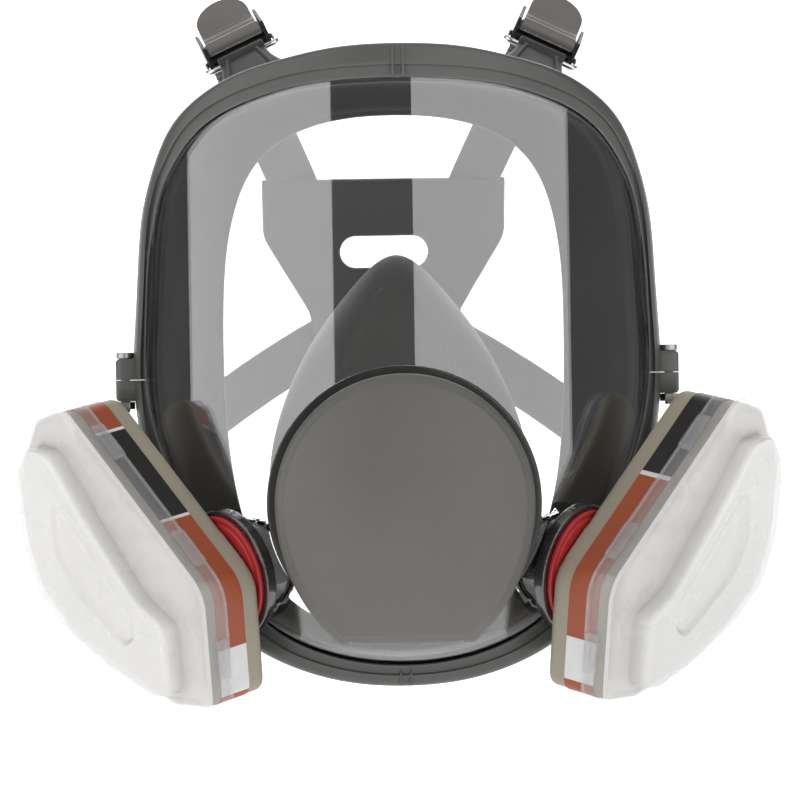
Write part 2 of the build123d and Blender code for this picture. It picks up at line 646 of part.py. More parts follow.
def buckle(plane, tag):
    with BuildPart() as wire:
        with BuildLine() as path:
            pts = [plane.from_local_coords(p) for p in ((-12.6, 0, 0), (12.6, 0, 0),
                                                        (12.6, 11.5, 0), (-12.6, 11.5, 0))]
            FilletPolyline(*pts, radius=2.2, close=True)
        start = path.line @ 0
        tangent = path.line % 0
        with BuildSketch(Plane(origin=start, z_dir=tangent)):
            Circle(0.95)
        sweep()
    with BuildPart() as body:
        add(cross_rod(plane, 11.5, 0, 2.5, -10.5, 10.5))
        add(local_box(plane, -11.3, 11.3, 13.2, 26.5, -3.0, -1.2))
        add(local_box(plane, -8.0, 8.0, 11.5, 14.0, -2.4, -1.2))
        add(local_box(plane, 10.1, 11.3, 5.2, 26.5, -2.4, 7.2))
        add(local_box(plane, -11.3, -10.1, 5.2, 26.5, -2.4, 7.2))
        add(cross_rod(plane, 11.5, 0, 1.1, -12, 12), mode=Mode.SUBTRACT)
        add(cross_rod(plane, PIVOT_Y, PIVOT_Z, 1.3, -13, 13), mode=Mode.SUBTRACT)
    with BuildPart() as lever:
        # front barrel with its trunnions
        add(cross_rod(plane, PIVOT_Y, PIVOT_Z, 2.0, -9.7, 9.7))
        add(cross_rod(plane, PIVOT_Y, PIVOT_Z, 1.22, -11.3, 11.3))
        # grooved plate over the strap, with a clamping nose beneath
        add(local_box(plane, -9.3, 9.3, PIVOT_Y, 22.0, 4.3, 7.4))
        add(cross_rod(plane, 19.5, 4.7, 1.9, -9.3, 9.3))
        for y in (11.2, 17.6):
            add(cross_rod(plane, y, 7.7, 0.9, -10, 10), mode=Mode.SUBTRACT)
        # half-round thumb tab that rises at the back
        o = plane.from_local_coords((0, 20.6, 5.0))
        up = (plane.z_dir * cos(radians(28)) - plane.y_dir * sin(radians(28)))
        tab_plane = Plane(origin=o, x_dir=plane.x_dir, z_dir=up)
        with BuildSketch(tab_plane):
            with BuildLine():
                Polyline((-9.3, 5.6), (-9.3, -1.0), (9.3, -1.0), (9.3, 5.6))
                ThreePointArc((9.3, 5.6), (0, 14.6), (-9.3, 5.6))
            make_face()
        extrude(amount=2.3)
    for part, name in ((wire, "buckle_wire"), (body, "buckle_body"), (lever, "buckle_lever")):
        export(part.part, f"{name}_{tag}_left")
        export(right(part.part), f"{name}_{tag}_right")


buckle(UPPER, "upper")
buckle(LOWER, "lower")
for _tag, _pl in (("upper", UPPER), ("lower", LOWER)):
    print(_tag, "lever pivot", _pl.from_local_coords((0, PIVOT_Y, PIVOT_Z)), "axis", _pl.x_dir)
    print(_tag, "along", _pl.y_dir, "out", _pl.z_dir)
print("port axis", PORT_L.z_dir)

# ---------------------------------------------------------------------------
# Straps: flat bands on one arc each, from the buckle to the crown pad
# ---------------------------------------------------------------------------
PAD_Y, PAD_Z, PAD_R = 42.0, 30.0, 93.25
UP_S = UP_B + UP_D * 14.6
_zE = 76.5
_yE = PAD_Y + sqrt(PAD_R ** 2 - (_zE - PAD_Z) ** 2)
_t = UP_W
_xE = UP_S.X - (_t.Y * (_yE - UP_S.Y) + _t.Z * (_zE - UP_S.Z)) / _t.X
UP_E = Vector(_xE, _yE, _zE)


def strap(plane, start, end):
    """Band whose centre line is an arc tangent to the buckle, in the buckle's
    own length-and-thickness plane."""
    d, n = plane.y_dir, plane.z_dir
    lift = 0.65 + STRAP_T / 2 - 0.6
    start = start + n * lift
    e = end - start
    ex, ey = e.dot(d), e.dot(n)
    r = (ex * ex + ey * ey) / (2 * ey)          # negative: the centre lies inward
    turn = 2 * atan2(abs(ey), ex)
    side = Plane(origin=start, x_dir=d, z_dir=d.cross(n))
    rc = abs(r)

    def at(rad, ang):
        return (rad * sin(ang), -rc + rad * cos(ang))

    ro, ri = rc + STRAP_T / 2, rc - STRAP_T / 2
    with BuildPart() as p:
        with BuildSketch(side):
            with BuildLine():
                ThreePointArc(at(ro, 0), at(ro, turn / 2), at(ro, turn))
                Line(at(ro, turn), at(ri, turn))
                ThreePointArc(at(ri, turn), at(ri, turn / 2), at(ri, 0))
                Line(at(ri, 0), at(ro, 0))
            make_face()
        extrude(amount=STRAP_W / 2, both=True)
    print("strap radius", round(rc, 1), "turn", round(degrees(turn), 1),
          "length", round(rc * turn, 1), "start", start, "end", end)
    return p.part


strap_upper = strap(UPPER, UP_S, UP_E)
strap_lower = strap(LOWER, LOW_B + LOW_D * 14.6, LOW_E)
export(strap_upper, "strap_upper_left")
export(right(strap_upper), "strap_upper_right")
export(strap_lower, "strap_lower_left")
export(right(strap_lower), "strap_lower_right")

# ---------------------------------------------------------------------------
# Crown pad at the back of the head
# ---------------------------------------------------------------------------
with BuildPart() as crown_pad:
    with BuildSketch(Plane(origin=(-60, PAD_Y, PAD_Z), x_dir=(0, 1, 0), z_dir=(1, 0, 0))):
        with BuildLine():
            a0, a1 = radians(-26), radians(27.6)
            for_r = PAD_R + 1.4, PAD_R - 1.4
            ThreePointArc((for_r[0] * cos(a0), for_r[0] * sin(a0)), (for_r[0], 0),
                          (for_r[0] * cos(a1), for_r[0] * sin(a1)))
            Line((for_r[0] * cos(a1), for_r[0] * sin(a1)), (for_r[1] * cos(a1), for_r[1] * sin(a1)))
            ThreePointArc((for_r[1] * cos(a1), for_r[1] * sin(a1)), (for_r[1], 0),
                          (for_r[1] * cos(a0), for_r[1] * sin(a0)))
            Line((for_r[1] * cos(a0), for_r[1] * sin(a0)), (for_r[0] * cos(a0), for_r[0] * sin(a0)))
        make_face()
    extrude(amount=120)
    with BuildSketch(FRONT.offset(-160)):
        with BuildLine():
            FilletPolyline((-47, 80), (47, 80), (47, 52), (28.5, 22), (28.5, -16), (-28.5, -16),
                           (-28.5, 22), (-47, 52), radius=[2, 2, 12, 14, 8, 8, 14, 12], close=True)
        make_face()
        with Locations((0, 46)):
            SlotOverall(34, 12, mode=Mode.SUBTRACT)
        with Locations((0, 14)):
            SlotOverall(24, 12, mode=Mode.SUBTRACT)
    extrude(amount=100, mode=Mode.INTERSECT)
export(crown_pad.part, "crown_pad")
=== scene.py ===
import json
import math

import bmesh
import bpy
import numpy as np
from mathutils import Matrix, Vector

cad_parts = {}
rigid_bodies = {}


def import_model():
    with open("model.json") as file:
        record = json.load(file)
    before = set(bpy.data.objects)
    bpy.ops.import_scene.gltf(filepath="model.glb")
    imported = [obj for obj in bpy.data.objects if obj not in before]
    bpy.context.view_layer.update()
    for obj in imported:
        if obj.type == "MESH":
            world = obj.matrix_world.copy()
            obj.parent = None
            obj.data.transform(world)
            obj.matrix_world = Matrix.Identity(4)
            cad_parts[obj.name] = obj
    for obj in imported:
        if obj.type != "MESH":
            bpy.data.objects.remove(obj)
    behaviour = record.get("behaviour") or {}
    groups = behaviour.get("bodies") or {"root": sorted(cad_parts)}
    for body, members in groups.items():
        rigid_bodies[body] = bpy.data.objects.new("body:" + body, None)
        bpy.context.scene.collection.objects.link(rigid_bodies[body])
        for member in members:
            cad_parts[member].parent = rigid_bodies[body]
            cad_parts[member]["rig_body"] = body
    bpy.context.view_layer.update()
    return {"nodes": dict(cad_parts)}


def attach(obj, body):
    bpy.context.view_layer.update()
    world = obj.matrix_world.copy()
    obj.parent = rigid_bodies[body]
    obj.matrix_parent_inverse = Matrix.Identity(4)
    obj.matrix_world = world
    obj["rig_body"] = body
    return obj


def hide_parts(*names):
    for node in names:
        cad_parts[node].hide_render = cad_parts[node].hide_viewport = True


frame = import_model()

MM = 0.001
node_body = {n: o["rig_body"] for n, o in frame["nodes"].items()}

# ---------------------------------------------------------------------------
# dimensions shared with the CAD (millimetres)
# ---------------------------------------------------------------------------
R_LENS, LENS_Y, LENS_WALL = 94.0, -7.0, 2.2
Z_CHIN, R_CHIN = -45.0, 112.0
ADAPT_Z, COVER_R, COVER_CROWN, COVER_BACK = -43.0, 40.4, -127.0, -106.3
SPLIT_Z = -3.0
FRAME_HALF = [(0, 101), (22, 99.8), (36, 97.2), (46, 94.8), (54, 92), (62.7, 87.3),
              (72, 79), (78.6, 66), (82.7, 52), (84.8, 32), (86, 15), (86.8, 0),
              (85.6, -16), (82.3, -33), (76.6, -50), (68.8, -66), (59.5, -79),
              (49, -88.6), (36, -95.4), (19, -100.2), (0, -101.7)]
LIP_HALF = [(0, 90.3), (21, 89.6), (33, 88.2), (44.5, 85.4), (56.0, 81.1),
            (64.2, 75.6), (71.0, 67.4), (75.6, 59), (79.2, 46), (81, 35),
            (82.0, 20), (82.4, 5), (81.6, -8), (79.2, -20), (75, -32), (69, -46),
            (61.2, -60), (52.5, -72.5), (43, -82), (31.5, -88.6), (16, -93.2), (0, -94.6)]
FACE_HALF = [(0, 84), (24, 81.5), (44, 71), (54, 52), (58, 22), (57.5, -18),
             (52, -52), (39, -76), (17, -88.5), (0, -91)]
REAR = [(112, -46), (84, -31), (45, -9), (8, 0), (-45, 0), (-82, -7), (-112, -22)]
CUP_FRONT = [(0, -11), (16.5, -14.8), (28.6, -26.5), (32, -43), (28.6, -59.5), (16.5, -71.2), (0, -75)]
CUP_MID = [(0, 16), (17, 6), (33, -14), (39.5, -40), (33, -64), (18, -77), (0, -81)]
CUP_REAR = [(0, 37), (14, 27), (30, 5), (41.5, -28), (37, -62), (20, -82), (0, -88)]
SKIRT = [(-21.5, 1), (36, 60.5), (56, 57.5), (68.5, 43), (71.5, 12), (56, -14.5),
         (34, -28), (8, -38.5), (-14.5, -38.5)]
SKIRT_R = [13, 10, 12, 14, 18, 20, 20, 12, 7]
PLATEAU = [(-5, -9), (8, -1), (28, 26), (41, 46), (52, 48.5), (62.5, 39), (66, 16),
           (62, -1), (50, -12.5), (29, -24), (8, -32), (-1.5, -32)]
PLATEAU_R = [4, 10, 24, 8, 6, 8, 14, 14, 16, 16, 8, 4]
RECESS = [(-2.5, -8), (15, 3), (47, 30), (53.5, 21), (52.5, 4), (43, -6), (22, -18.5), (2.5, -24.5)]
RECESS_R = [4, 14, 5, 8, 9, 16, 16, 4]
CASE_INSET = 1.95
T_SKIRT, T_LEVEL, T_TOP = 15.0, 24.0, 29.5


class Frame3:
    """A plane with its own x, y, z directions."""

    def __init__(self, origin, x, y):
        self.o = Vector(origin)
        self.x = Vector(x).normalized()
        self.z = self.x.cross(Vector(y)).normalized()
        self.y = self.z.cross(self.x).normalized()

    def at(self, a, b, c=0.0):
        return self.o + self.x * a + self.y * b + self.z * c


_az, _el = math.radians(52.0), math.radians(-12.0)
_n = Vector((-math.sin(_az) * math.cos(_el), -math.cos(_az) * math.cos(_el), math.sin(_el)))
_px = Vector((math.cos(_az), -math.sin(_az), 0))
PORT = Frame3((-57.5, -89.2, -65.4), _px, _n.cross(_px))
ADAPT = Frame3((0, 0, ADAPT_Z), (1, 0, 0), (0, 0, 1))
UPPER = Frame3((-49.5, -34, 104), (0.906115, -0.000057, 0.423032), (-0.139817, 0.943762, 0.299607))
LOWER = Frame3((-103, 14, -68), (-0.523344, -0.213177, 0.825025), (-0.306602, 0.950465, 0.0511))


# ---------------------------------------------------------------------------
# colour and materials
# ---------------------------------------------------------------------------
def lin(r, g, b):
    def f(c):
        c /= 255.0
        return c / 12.92 if c <= 0.04045 else ((c + 0.055) / 1.055) ** 2.4
    return (f(r), f(g), f(b), 1.0)


def material(name, dark, light, rough=(0.4, 0.55), grain=900.0, bump=0.06, blotch=18.0,
             metallic=0.0, transmission=0.0, ior=1.46, alpha=1.0, coat=0.0, coat_rough=0.1,
             sheen=0.0, subsurface=0.0, edge_highlight=0.0, edge_highlight_colour=None, bump_distance=0.0002,
             stretch=(1, 1, 1), specular=0.5):
    m = bpy.data.materials.new(name)
    m.use_nodes = True
    nt = m.node_tree
    bsdf = nt.nodes["Principled BSDF"]
    tc = nt.nodes.new("ShaderNodeTexCoord")
    mp = nt.nodes.new("ShaderNodeMapping")
    mp.inputs["Scale"].default_value = stretch
    nt.links.new(tc.outputs["Object"], mp.inputs["Vector"])

    def noise(scale, detail=3.0, rough_=0.55, dist=0.0):
        n = nt.nodes.new("ShaderNodeTexNoise")
        n.inputs["Scale"].default_value = scale
        n.inputs["Detail"].default_value = detail
        n.inputs["Roughness"].default_value = rough_
        n.inputs["Distortion"].default_value = dist
        nt.links.new(mp.outputs["Vector"], n.inputs["Vector"])
        return n

    big = noise(blotch, 5.0, 0.6, 0.2)
    ramp = nt.nodes.new("ShaderNodeValToRGB")
    ramp.color_ramp.elements[0].position = 0.3
    ramp.color_ramp.elements[0].color = dark
    ramp.color_ramp.elements[1].position = 0.7
    ramp.color_ramp.elements[1].color = light
    nt.links.new(big.outputs["Fac"], ramp.inputs["Fac"])
    colour = ramp.outputs["Color"]
    # painted highlight: convex edges (high pointiness) are lightened toward a paler colour
    if edge_highlight > 0:
        geo = nt.nodes.new("ShaderNodeNewGeometry")
        highlight_mask = nt.nodes.new("ShaderNodeMapRange")
        highlight_mask.inputs["From Min"].default_value = 0.52
        highlight_mask.inputs["From Max"].default_value = 0.62
        highlight_mask.inputs["To Max"].default_value = edge_highlight
        nt.links.new(geo.outputs["Pointiness"], highlight_mask.inputs["Value"])
        mx = nt.nodes.new("ShaderNodeMix")
        mx.data_type = "RGBA"
        mx.inputs[7].default_value = edge_highlight_colour or light
        nt.links.new(highlight_mask.outputs["Result"], mx.inputs[0])
        nt.links.new(colour, mx.inputs[6])
        colour = mx.outputs[2]
    nt.links.new(colour, bsdf.inputs["Base Color"])
    rn = noise(blotch * 3.1, 4.0)
    mr = nt.nodes.new("ShaderNodeMapRange")
    mr.inputs["From Min"].default_value = 0.3
    mr.inputs["From Max"].default_value = 0.7
    mr.inputs["To Min"].default_value = rough[0]
    mr.inputs["To Max"].default_value = rough[1]
    nt.links.new(rn.outputs["Fac"], mr.inputs["Value"])
    nt.links.new(mr.outputs["Result"], bsdf.inputs["Roughness"])
    if bump > 0:
        fn = noise(grain, 2.0)
        bp = nt.nodes.new("ShaderNodeBump")
        bp.inputs["Strength"].default_value = bump
        bp.inputs["Distance"].default_value = bump_distance
        nt.links.new(fn.outputs["Fac"], bp.inputs["Height"])
        nt.links.new(bp.outputs["Normal"], bsdf.inputs["Normal"])
    bsdf.inputs["Metallic"].default_value = metallic
    bsdf.inputs["Transmission Weight"].default_value = transmission
    bsdf.inputs["IOR"].default_value = ior
    bsdf.inputs["Alpha"].default_value = alpha
    bsdf.inputs["Coat Weight"].default_value = coat
    bsdf.inputs["Coat Roughness"].default_value = coat_rough
    bsdf.inputs["Sheen Weight"].default_value = sheen
    bsdf.inputs["Subsurface Weight"].default_value = subsurface
    bsdf.inputs["Specular IOR Level"].default_value = specular
    return m


MAT = {}
# frame: painted highlight along its convex edges
MAT["frame"] = material("frame_plastic", lin(77, 77, 75), lin(87, 87, 85), (0.30, 0.40), 1500, 0.10,
                        edge_highlight=0.35, edge_highlight_colour=lin(140, 140, 137))
MAT["cover"] = material("cover_plastic", lin(95, 94, 91), lin(103, 102, 98), (0.40, 0.50), 1700, 0.12)
MAT["seal"] = material("seal_rubber", lin(30, 27, 27), lin(39, 36, 35), (0.38, 0.5), 1300, 0.08, sheen=0.15)
MAT["cup"] = material("cup_rubber", lin(74, 72, 69), lin(87, 84, 81), (0.42, 0.55), 1300, 0.08, sheen=0.1)
MAT["adapter"] = material("adapter_plastic", lin(38, 37, 36), lin(48, 47, 45), (0.16, 0.26), 1500, 0.03, coat=0.3)
MAT["red"] = material("red_silicone", lin(174, 38, 43), lin(190, 50, 54), (0.3, 0.42), 1400, 0.05, subsurface=0.1)
MAT["film"] = material("diaphragm_film", lin(214, 208, 186), lin(226, 221, 202), (0.2, 0.32), 900, 0.04)
MAT["valve"] = material("valve_silicone", lin(214, 208, 196), lin(228, 224, 214), (0.35, 0.5), 1200, 0.06, subsurface=0.2)
MAT["strap"] = material("strap_rubber", lin(36, 34, 33), lin(47, 45, 43), (0.5, 0.65), 1500, 0.16, sheen=0.1)
MAT["case"] = material("case_plastic", lin(149, 142, 126), lin(161, 154, 138), (0.4, 0.52), 1400, 0.10)
MAT["carbon"] = material("carbon_granules", lin(14, 14, 15), lin(44, 44, 46), (0.35, 0.8), 900, 0.9, blotch=900, bump_distance=0.0008)
MAT["felt"] = material("filter_felt", lin(222, 222, 222), lin(244, 244, 243), (0.85, 0.95), 700, 0.5, blotch=120, sheen=0.4, bump_distance=0.0005)
MAT["steel"] = material("zinc_steel", lin(168, 168, 166), lin(190, 190, 188), (0.25, 0.38), 900, 0.04, metallic=1.0)
MAT["wire"] = material("wire_steel", lin(205, 205, 203), lin(224, 224, 222), (0.1, 0.2), 700, 0.03, metallic=1.0)
MAT["buckle"] = material("buckle_black", lin(34, 33, 33), lin(44, 43, 42), (0.36, 0.48), 1500, 0.08)
# thumb lever: strong painted highlight along its convex edges
MAT["lever"] = material("buckle_grey", lin(100, 97, 94), lin(114, 111, 108), (0.34, 0.46), 1500, 0.10,
                        edge_highlight=0.8, edge_highlight_colour=lin(172, 169, 165))
MAT["port"] = material("clear_port", lin(42, 39, 39), lin(52, 48, 48), (0.06, 0.12), 900, 0.02,
                       ior=1.7, alpha=0.8, coat=1.0, coat_rough=0.05)
MAT["port"].node_tree.nodes["Principled BSDF"].inputs["Coat IOR"].default_value = 1.9
MAT["frost"] = material("frosted_plastic", lin(196, 197, 199), lin(206, 207, 209), (0.22, 0.30), 1500, 0.06,
                        ior=1.9, alpha=0.17, coat=1.0, coat_rough=0.12)
MAT["frost"].node_tree.nodes["Principled BSDF"].inputs["Coat IOR"].default_value = 2.0
MAT["cap"] = material("frosted_plateau", lin(240, 239, 238), lin(247, 246, 245), (0.22, 0.30), 1500, 0.06,
                      ior=1.6, alpha=0.62, coat=0.7, coat_rough=0.12)


def lens_material():
    m = bpy.data.materials.new("clear_lens")
    m.use_nodes = True
    nt = m.node_tree
    b = nt.nodes["Principled BSDF"]
    tc = nt.nodes.new("ShaderNodeTexCoord")
    n = nt.nodes.new("ShaderNodeTexNoise")
    n.inputs["Scale"].default_value = 60.0
    n.inputs["Detail"].default_value = 6.0
    nt.links.new(tc.outputs["Object"], n.inputs["Vector"])
    mr = nt.nodes.new("ShaderNodeMapRange")
    mr.inputs["From Min"].default_value = 0.3
    mr.inputs["From Max"].default_value = 0.75
    mr.inputs["To Min"].default_value = 0.0
    mr.inputs["To Max"].default_value = 0.035
    nt.links.new(n.outputs["Fac"], mr.inputs["Value"])
    nt.links.new(mr.outputs["Result"], b.inputs["Roughness"])
    ramp = nt.nodes.new("ShaderNodeValToRGB")
    ramp.color_ramp.elements[0].color = (0.955, 0.965, 0.97, 1)
    ramp.color_ramp.elements[1].color = (0.985, 0.99, 0.992, 1)
    nt.links.new(n.outputs["Fac"], ramp.inputs["Fac"])
    nt.links.new(ramp.outputs["Color"], b.inputs["Base Color"])
    b.inputs["Transmission Weight"].default_value = 1.0
    b.inputs["IOR"].default_value = 1.58
    b.inputs["Coat Weight"].default_value = 1.0
    b.inputs["Coat IOR"].default_value = 1.7
    b.inputs["Coat Roughness"].default_value = 0.02
    return m


MAT["lens"] = lens_material()


# ---------------------------------------------------------------------------
# mesh helpers
# ---------------------------------------------------------------------------
def link(name, me, mat, body, replaces=(), smooth=True):
    o = bpy.data.objects.new(name, me)
    bpy.context.scene.collection.objects.link(o)
    if mat is not None:
        me.materials.clear()
        me.materials.append(mat)
    if smooth:
        me.polygons.foreach_set("use_smooth", [True] * len(me.polygons))
    if body:
        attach(o, body)
    if replaces:
        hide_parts(*replaces)
    return o


def mesh_of(name, verts, faces, scale=MM):
    me = bpy.data.meshes.new(name)
    me.from_pydata([tuple(float(c) * scale for c in v) for v in verts], [], faces)
    bm = bmesh.new()
    bm.from_mesh(me)
    bmesh.ops.remove_doubles(bm, verts=bm.verts, dist=1e-6)
    bmesh.ops.dissolve_degenerate(bm, edges=bm.edges, dist=1e-7)
    bmesh.ops.recalc_face_normals(bm, faces=bm.faces)
    bm.to_mesh(me)
    bm.free()
    me.update()
    return me


def loft(rings, closed_ring=True, closed_loop=False, cap=(False, False)):
    """Quads between successive rings of the same length."""
    verts, faces = [], []
    n = len(rings[0])
    for r in rings:
        verts += list(r)
    m = len(rings)
    for j in range(m if closed_loop else m - 1):
        a, b = j * n, ((j + 1) % m) * n
        for i in range(n if closed_ring else n - 1):
            k = (i + 1) % n
            faces.append((a + i, a + k, b + k, b + i))
    for flag, j in ((cap[0], 0), (cap[1], m - 1)):
        if flag:
            c = len(verts)
            ring = rings[j]
            verts.append(tuple(np.mean(np.array([tuple(v) for v in ring]), axis=0)))
            for i in range(n):
                faces.append((j * n + i, j * n + (i + 1) % n, c))
    return verts, faces


def evaluated(o, mods):
    """Applies modifiers given as (type, settings) and returns a new mesh."""
    for kind, settings in mods:
        md = o.modifiers.new(kind, kind)
        for k, v in settings.items():
            setattr(md, k, v)
    bpy.context.view_layer.update()
    dg = bpy.context.evaluated_depsgraph_get()
    me = bpy.data.meshes.new_from_object(o.evaluated_get(dg))
    o.modifiers.clear()
    return me


def temp(me):
    o = bpy.data.objects.new("temp", me)
    bpy.context.scene.collection.objects.link(o)
    return o


def drop(*objs):
    for o in objs:
        bpy.data.objects.remove(o)


def boolean(me, others, op="DIFFERENCE"):
    o = temp(me)
    for other in others:
        t = temp(other)
        md = o.modifiers.new("b", "BOOLEAN")
        md.operation = op
        md.solver = "EXACT"
        md.object = t
        bpy.context.view_layer.update()
        dg = bpy.context.evaluated_depsgraph_get()
        new = bpy.data.meshes.new_from_object(o.evaluated_get(dg))
        o.modifiers.clear()
        o.data = new
        drop(t)
    me = o.data
    drop(o)
    return me


def soften(node, name, mat, voxel=0.5, smooth=4, factor=0.5, extra=None):
    """A fresh surface over a hard part: moulded radii on all of its edges."""
    src = frame["nodes"][node]
    me = src.data.copy()
    me.materials.clear()
    if extra is not None:
        me = extra(me)
    t = temp(me)
    new = evaluated(t, [("REMESH", {"mode": "VOXEL", "voxel_size": voxel * MM * 1.0,
                                    "use_smooth_shade": True}),
                        ("SMOOTH", {"factor": factor, "iterations": smooth})])
    drop(t)
    new.name = name
    return link(name, new, mat, node_body[node], (node,))


def spline_closed(half, n=360):
    """Smooth closed curve through a right half and its mirror image."""
    pts = list(half) + [(-x, z) for x, z in reversed(half[1:-1])]
    p = np.array(pts, float)
    m = len(p)
    d = np.linalg.norm(np.roll(p, -1, 0) - p, axis=1)
    A = np.zeros((m, m))
    B = np.zeros((m, 2))
    for i in range(m):
        h0, h1 = d[i - 1], d[i]
        A[i, (i - 1) % m] += h1
        A[i, i] += 2 * (h0 + h1)
        A[i, (i + 1) % m] += h0
        B[i] = 3 * (h0 * (p[(i + 1) % m] - p[i]) / h1 + h1 * (p[i] - p[i - 1]) / h0)
    g = np.linalg.solve(A, B)
    cum = np.concatenate([[0], np.cumsum(d)])
    out = []
    for s in np.linspace(0, cum[-1], n, endpoint=False):
        i = min(int(np.searchsorted(cum, s, "right")) - 1, m - 1)
        h = d[i]
        t = (s - cum[i]) / h
        p0, p1, g0, g1 = p[i], p[(i + 1) % m], g[i], g[(i + 1) % m]
        out.append((2 * t**3 - 3 * t**2 + 1) * p0 + (t**3 - 2 * t**2 + t) * h * g0
                   + (-2 * t**3 + 3 * t**2) * p1 + (t**3 - t**2) * h * g1)
    return np.array(out)


class Polar:
    """Radius of a closed outline as seen from a centre, by angle."""

    def __init__(self, pts, centre=(0, 0)):
        p = np.array(pts, float) - np.array(centre, float)
        a = np.unwrap(np.arctan2(p[:, 1], p[:, 0]))
        r = np.hypot(p[:, 0], p[:, 1])
        if a[-1] < a[0]:
            a, r = a[::-1], r[::-1]
        base = a[0]
        self.a = np.concatenate([a - 2 * np.pi, a, a + 2 * np.pi])
        self.r = np.concatenate([r, r, r])
        order = np.argsort(self.a)
        self.a, self.r = self.a[order], self.r[order]

    def __call__(self, ang):
        return np.interp(np.mod(ang + np.pi, 2 * np.pi) - np.pi, self.a, self.r)


def lens_r(z):
    return R_LENS if z >= Z_CHIN else R_LENS - R_CHIN + math.sqrt(max(R_CHIN**2 - (z - Z_CHIN) ** 2, 1.0))


def lens_y(x, z, off=0.0):
    """Front surface of the lens moved out by off, at a point of the front view."""
    if z >= Z_CHIN:
        r = R_LENS + off
    else:
        r = R_LENS - R_CHIN + math.sqrt(max((R_CHIN + off) ** 2 - (z - Z_CHIN) ** 2, 1.0))
    return LENS_Y - math.sqrt(max(r * r - x * x, 0.0))


def rounded_poly(pts, radii, inset=0.0, step=0.8):
    """Rounded polygon outline, inset, as dense points."""
    n = len(pts)
    lines = []
    for i in range(n):
        (x0, y0), (x1, y1) = pts[i], pts[(i + 1) % n]
        k = math.hypot(x1 - x0, y1 - y0)
        nx, ny = (y1 - y0) / k, -(x1 - x0) / k
        lines.append((x0 + nx * inset, y0 + ny * inset, (x1 - x0) / k, (y1 - y0) / k))
    new = []
    for i in range(n):
        ax, ay, adx, ady = lines[i - 1]
        bx, by, bdx, bdy = lines[i]
        det = adx * bdy - ady * bdx
        s = ((bx - ax) * bdy - (by - ay) * bdx) / det
        new.append(np.array((ax + adx * s, ay + ady * s)))
    out = []
    for i in range(n):
        p, a, b = new[i], new[i - 1], new[(i + 1) % n]
        r = max(0.8, radii[i] - inset)
        da, db = (a - p) / np.linalg.norm(a - p), (b - p) / np.linalg.norm(b - p)
        ang = math.acos(max(-1, min(1, float(da @ db))))
        t = r / math.tan(ang / 2)
        s, e = p + da * t, p + db * t
        bis = (da + db) / np.linalg.norm(da + db)
        c = p + bis * (r / math.sin(ang / 2))
        a0, a1 = math.atan2(*(s - c)[::-1]), math.atan2(*(e - c)[::-1])
        dd = (a1 - a0 + math.pi) % (2 * math.pi) - math.pi
        m = max(3, int(abs(dd) * r / step) + 1)
        for j in range(m + 1):
            q = a0 + dd * j / m
            out.append((c[0] + r * math.cos(q), c[1] + r * math.sin(q)))
    # straight stretches get points too
    dense = []
    for i in range(len(out)):
        p, q = np.array(out[i]), np.array(out[(i + 1) % len(out)])
        k = max(1, int(np.linalg.norm(q - p) / step))
        for j in range(k):
            dense.append(p + (q - p) * j / k)
    return np.array(dense)


def lathe(fr, profile, n=96, closed=True):
    """Surface of revolution about a frame's z axis; profile is (radius, height)."""
    rings = []
    for r, t in profile:
        rings.append([fr.at(r * math.cos(a), r * math.sin(a), t)
                      for a in np.linspace(0, 2 * math.pi, n, endpoint=False)])
    return loft(rings, True, closed)


def rounded(profile, radius, seg=3):
    """Rounds the corners of a closed (r, t) profile."""
    out = []
    n = len(profile)
    for i in range(n):
        p, a, b = (np.array(profile[j % n], float) for j in (i, i - 1, i + 1))
        la, lb = np.linalg.norm(a - p), np.linalg.norm(b - p)
        k = min(radius, la * 0.45, lb * 0.45)
        s, e = p + (a - p) / la * k, p + (b - p) / lb * k
        for j in range(seg + 1):
            t = j / seg
            out.append(tuple((1 - t) ** 2 * s + 2 * t * (1 - t) * p + t * t * e))
    return out


def mirrored(verts):
    return [(-v[0], v[1], v[2]) for v in verts]


def both(name, verts, faces, mat, node):
    """A left-hand piece and its right-hand twin."""
    for side, vs in (("left", [tuple(v) for v in verts]), ("right", mirrored(verts))):
        me = mesh_of(f"{name}_{side}", vs, faces)
        link(f"{name}_{side}", me, mat[side] if isinstance(mat, dict) else mat,
             node_body[f"{node}_{side}"], (f"{node}_{side}",))


def cylinder_mesh(fr, r, t0, t1, n=96):
    rings = [[fr.at(r * math.cos(a), r * math.sin(a), t)
              for a in np.linspace(0, 2 * math.pi, n, endpoint=False)] for t in (t0, t1)]
    v, f = loft(rings, True, False, (True, True))
    return mesh_of("cutter", v, f)


def box_mesh(lo, hi):
    v = [(x, y, z) for x in (lo[0], hi[0]) for y in (lo[1], hi[1]) for z in (lo[2], hi[2])]
    f = [(0, 1, 3, 2), (4, 6, 7, 5), (0, 4, 5, 1), (2, 3, 7, 6), (0, 2, 6, 4), (1, 5, 7, 3)]
    return mesh_of("cutter", v, f)


PORT_R = Frame3((57.5, -89.2, -65.4), (-PORT.x.x, PORT.x.y, PORT.x.z), (-PORT.y.x, PORT.y.y, PORT.y.z))
PORT_R.z = Vector((-PORT.z.x, PORT.z.y, PORT.z.z))

P_FRAME = Polar(spline_closed(FRAME_HALF, 720))
P_LIP = Polar(spline_closed(LIP_HALF, 720))
P_FACE = Polar(spline_closed(FACE_HALF, 720))


def at_polar(a, r):
    return r * math.cos(a), r * math.sin(a)


# ---------------------------------------------------------------------------
# lens
# ---------------------------------------------------------------------------
NA = 288


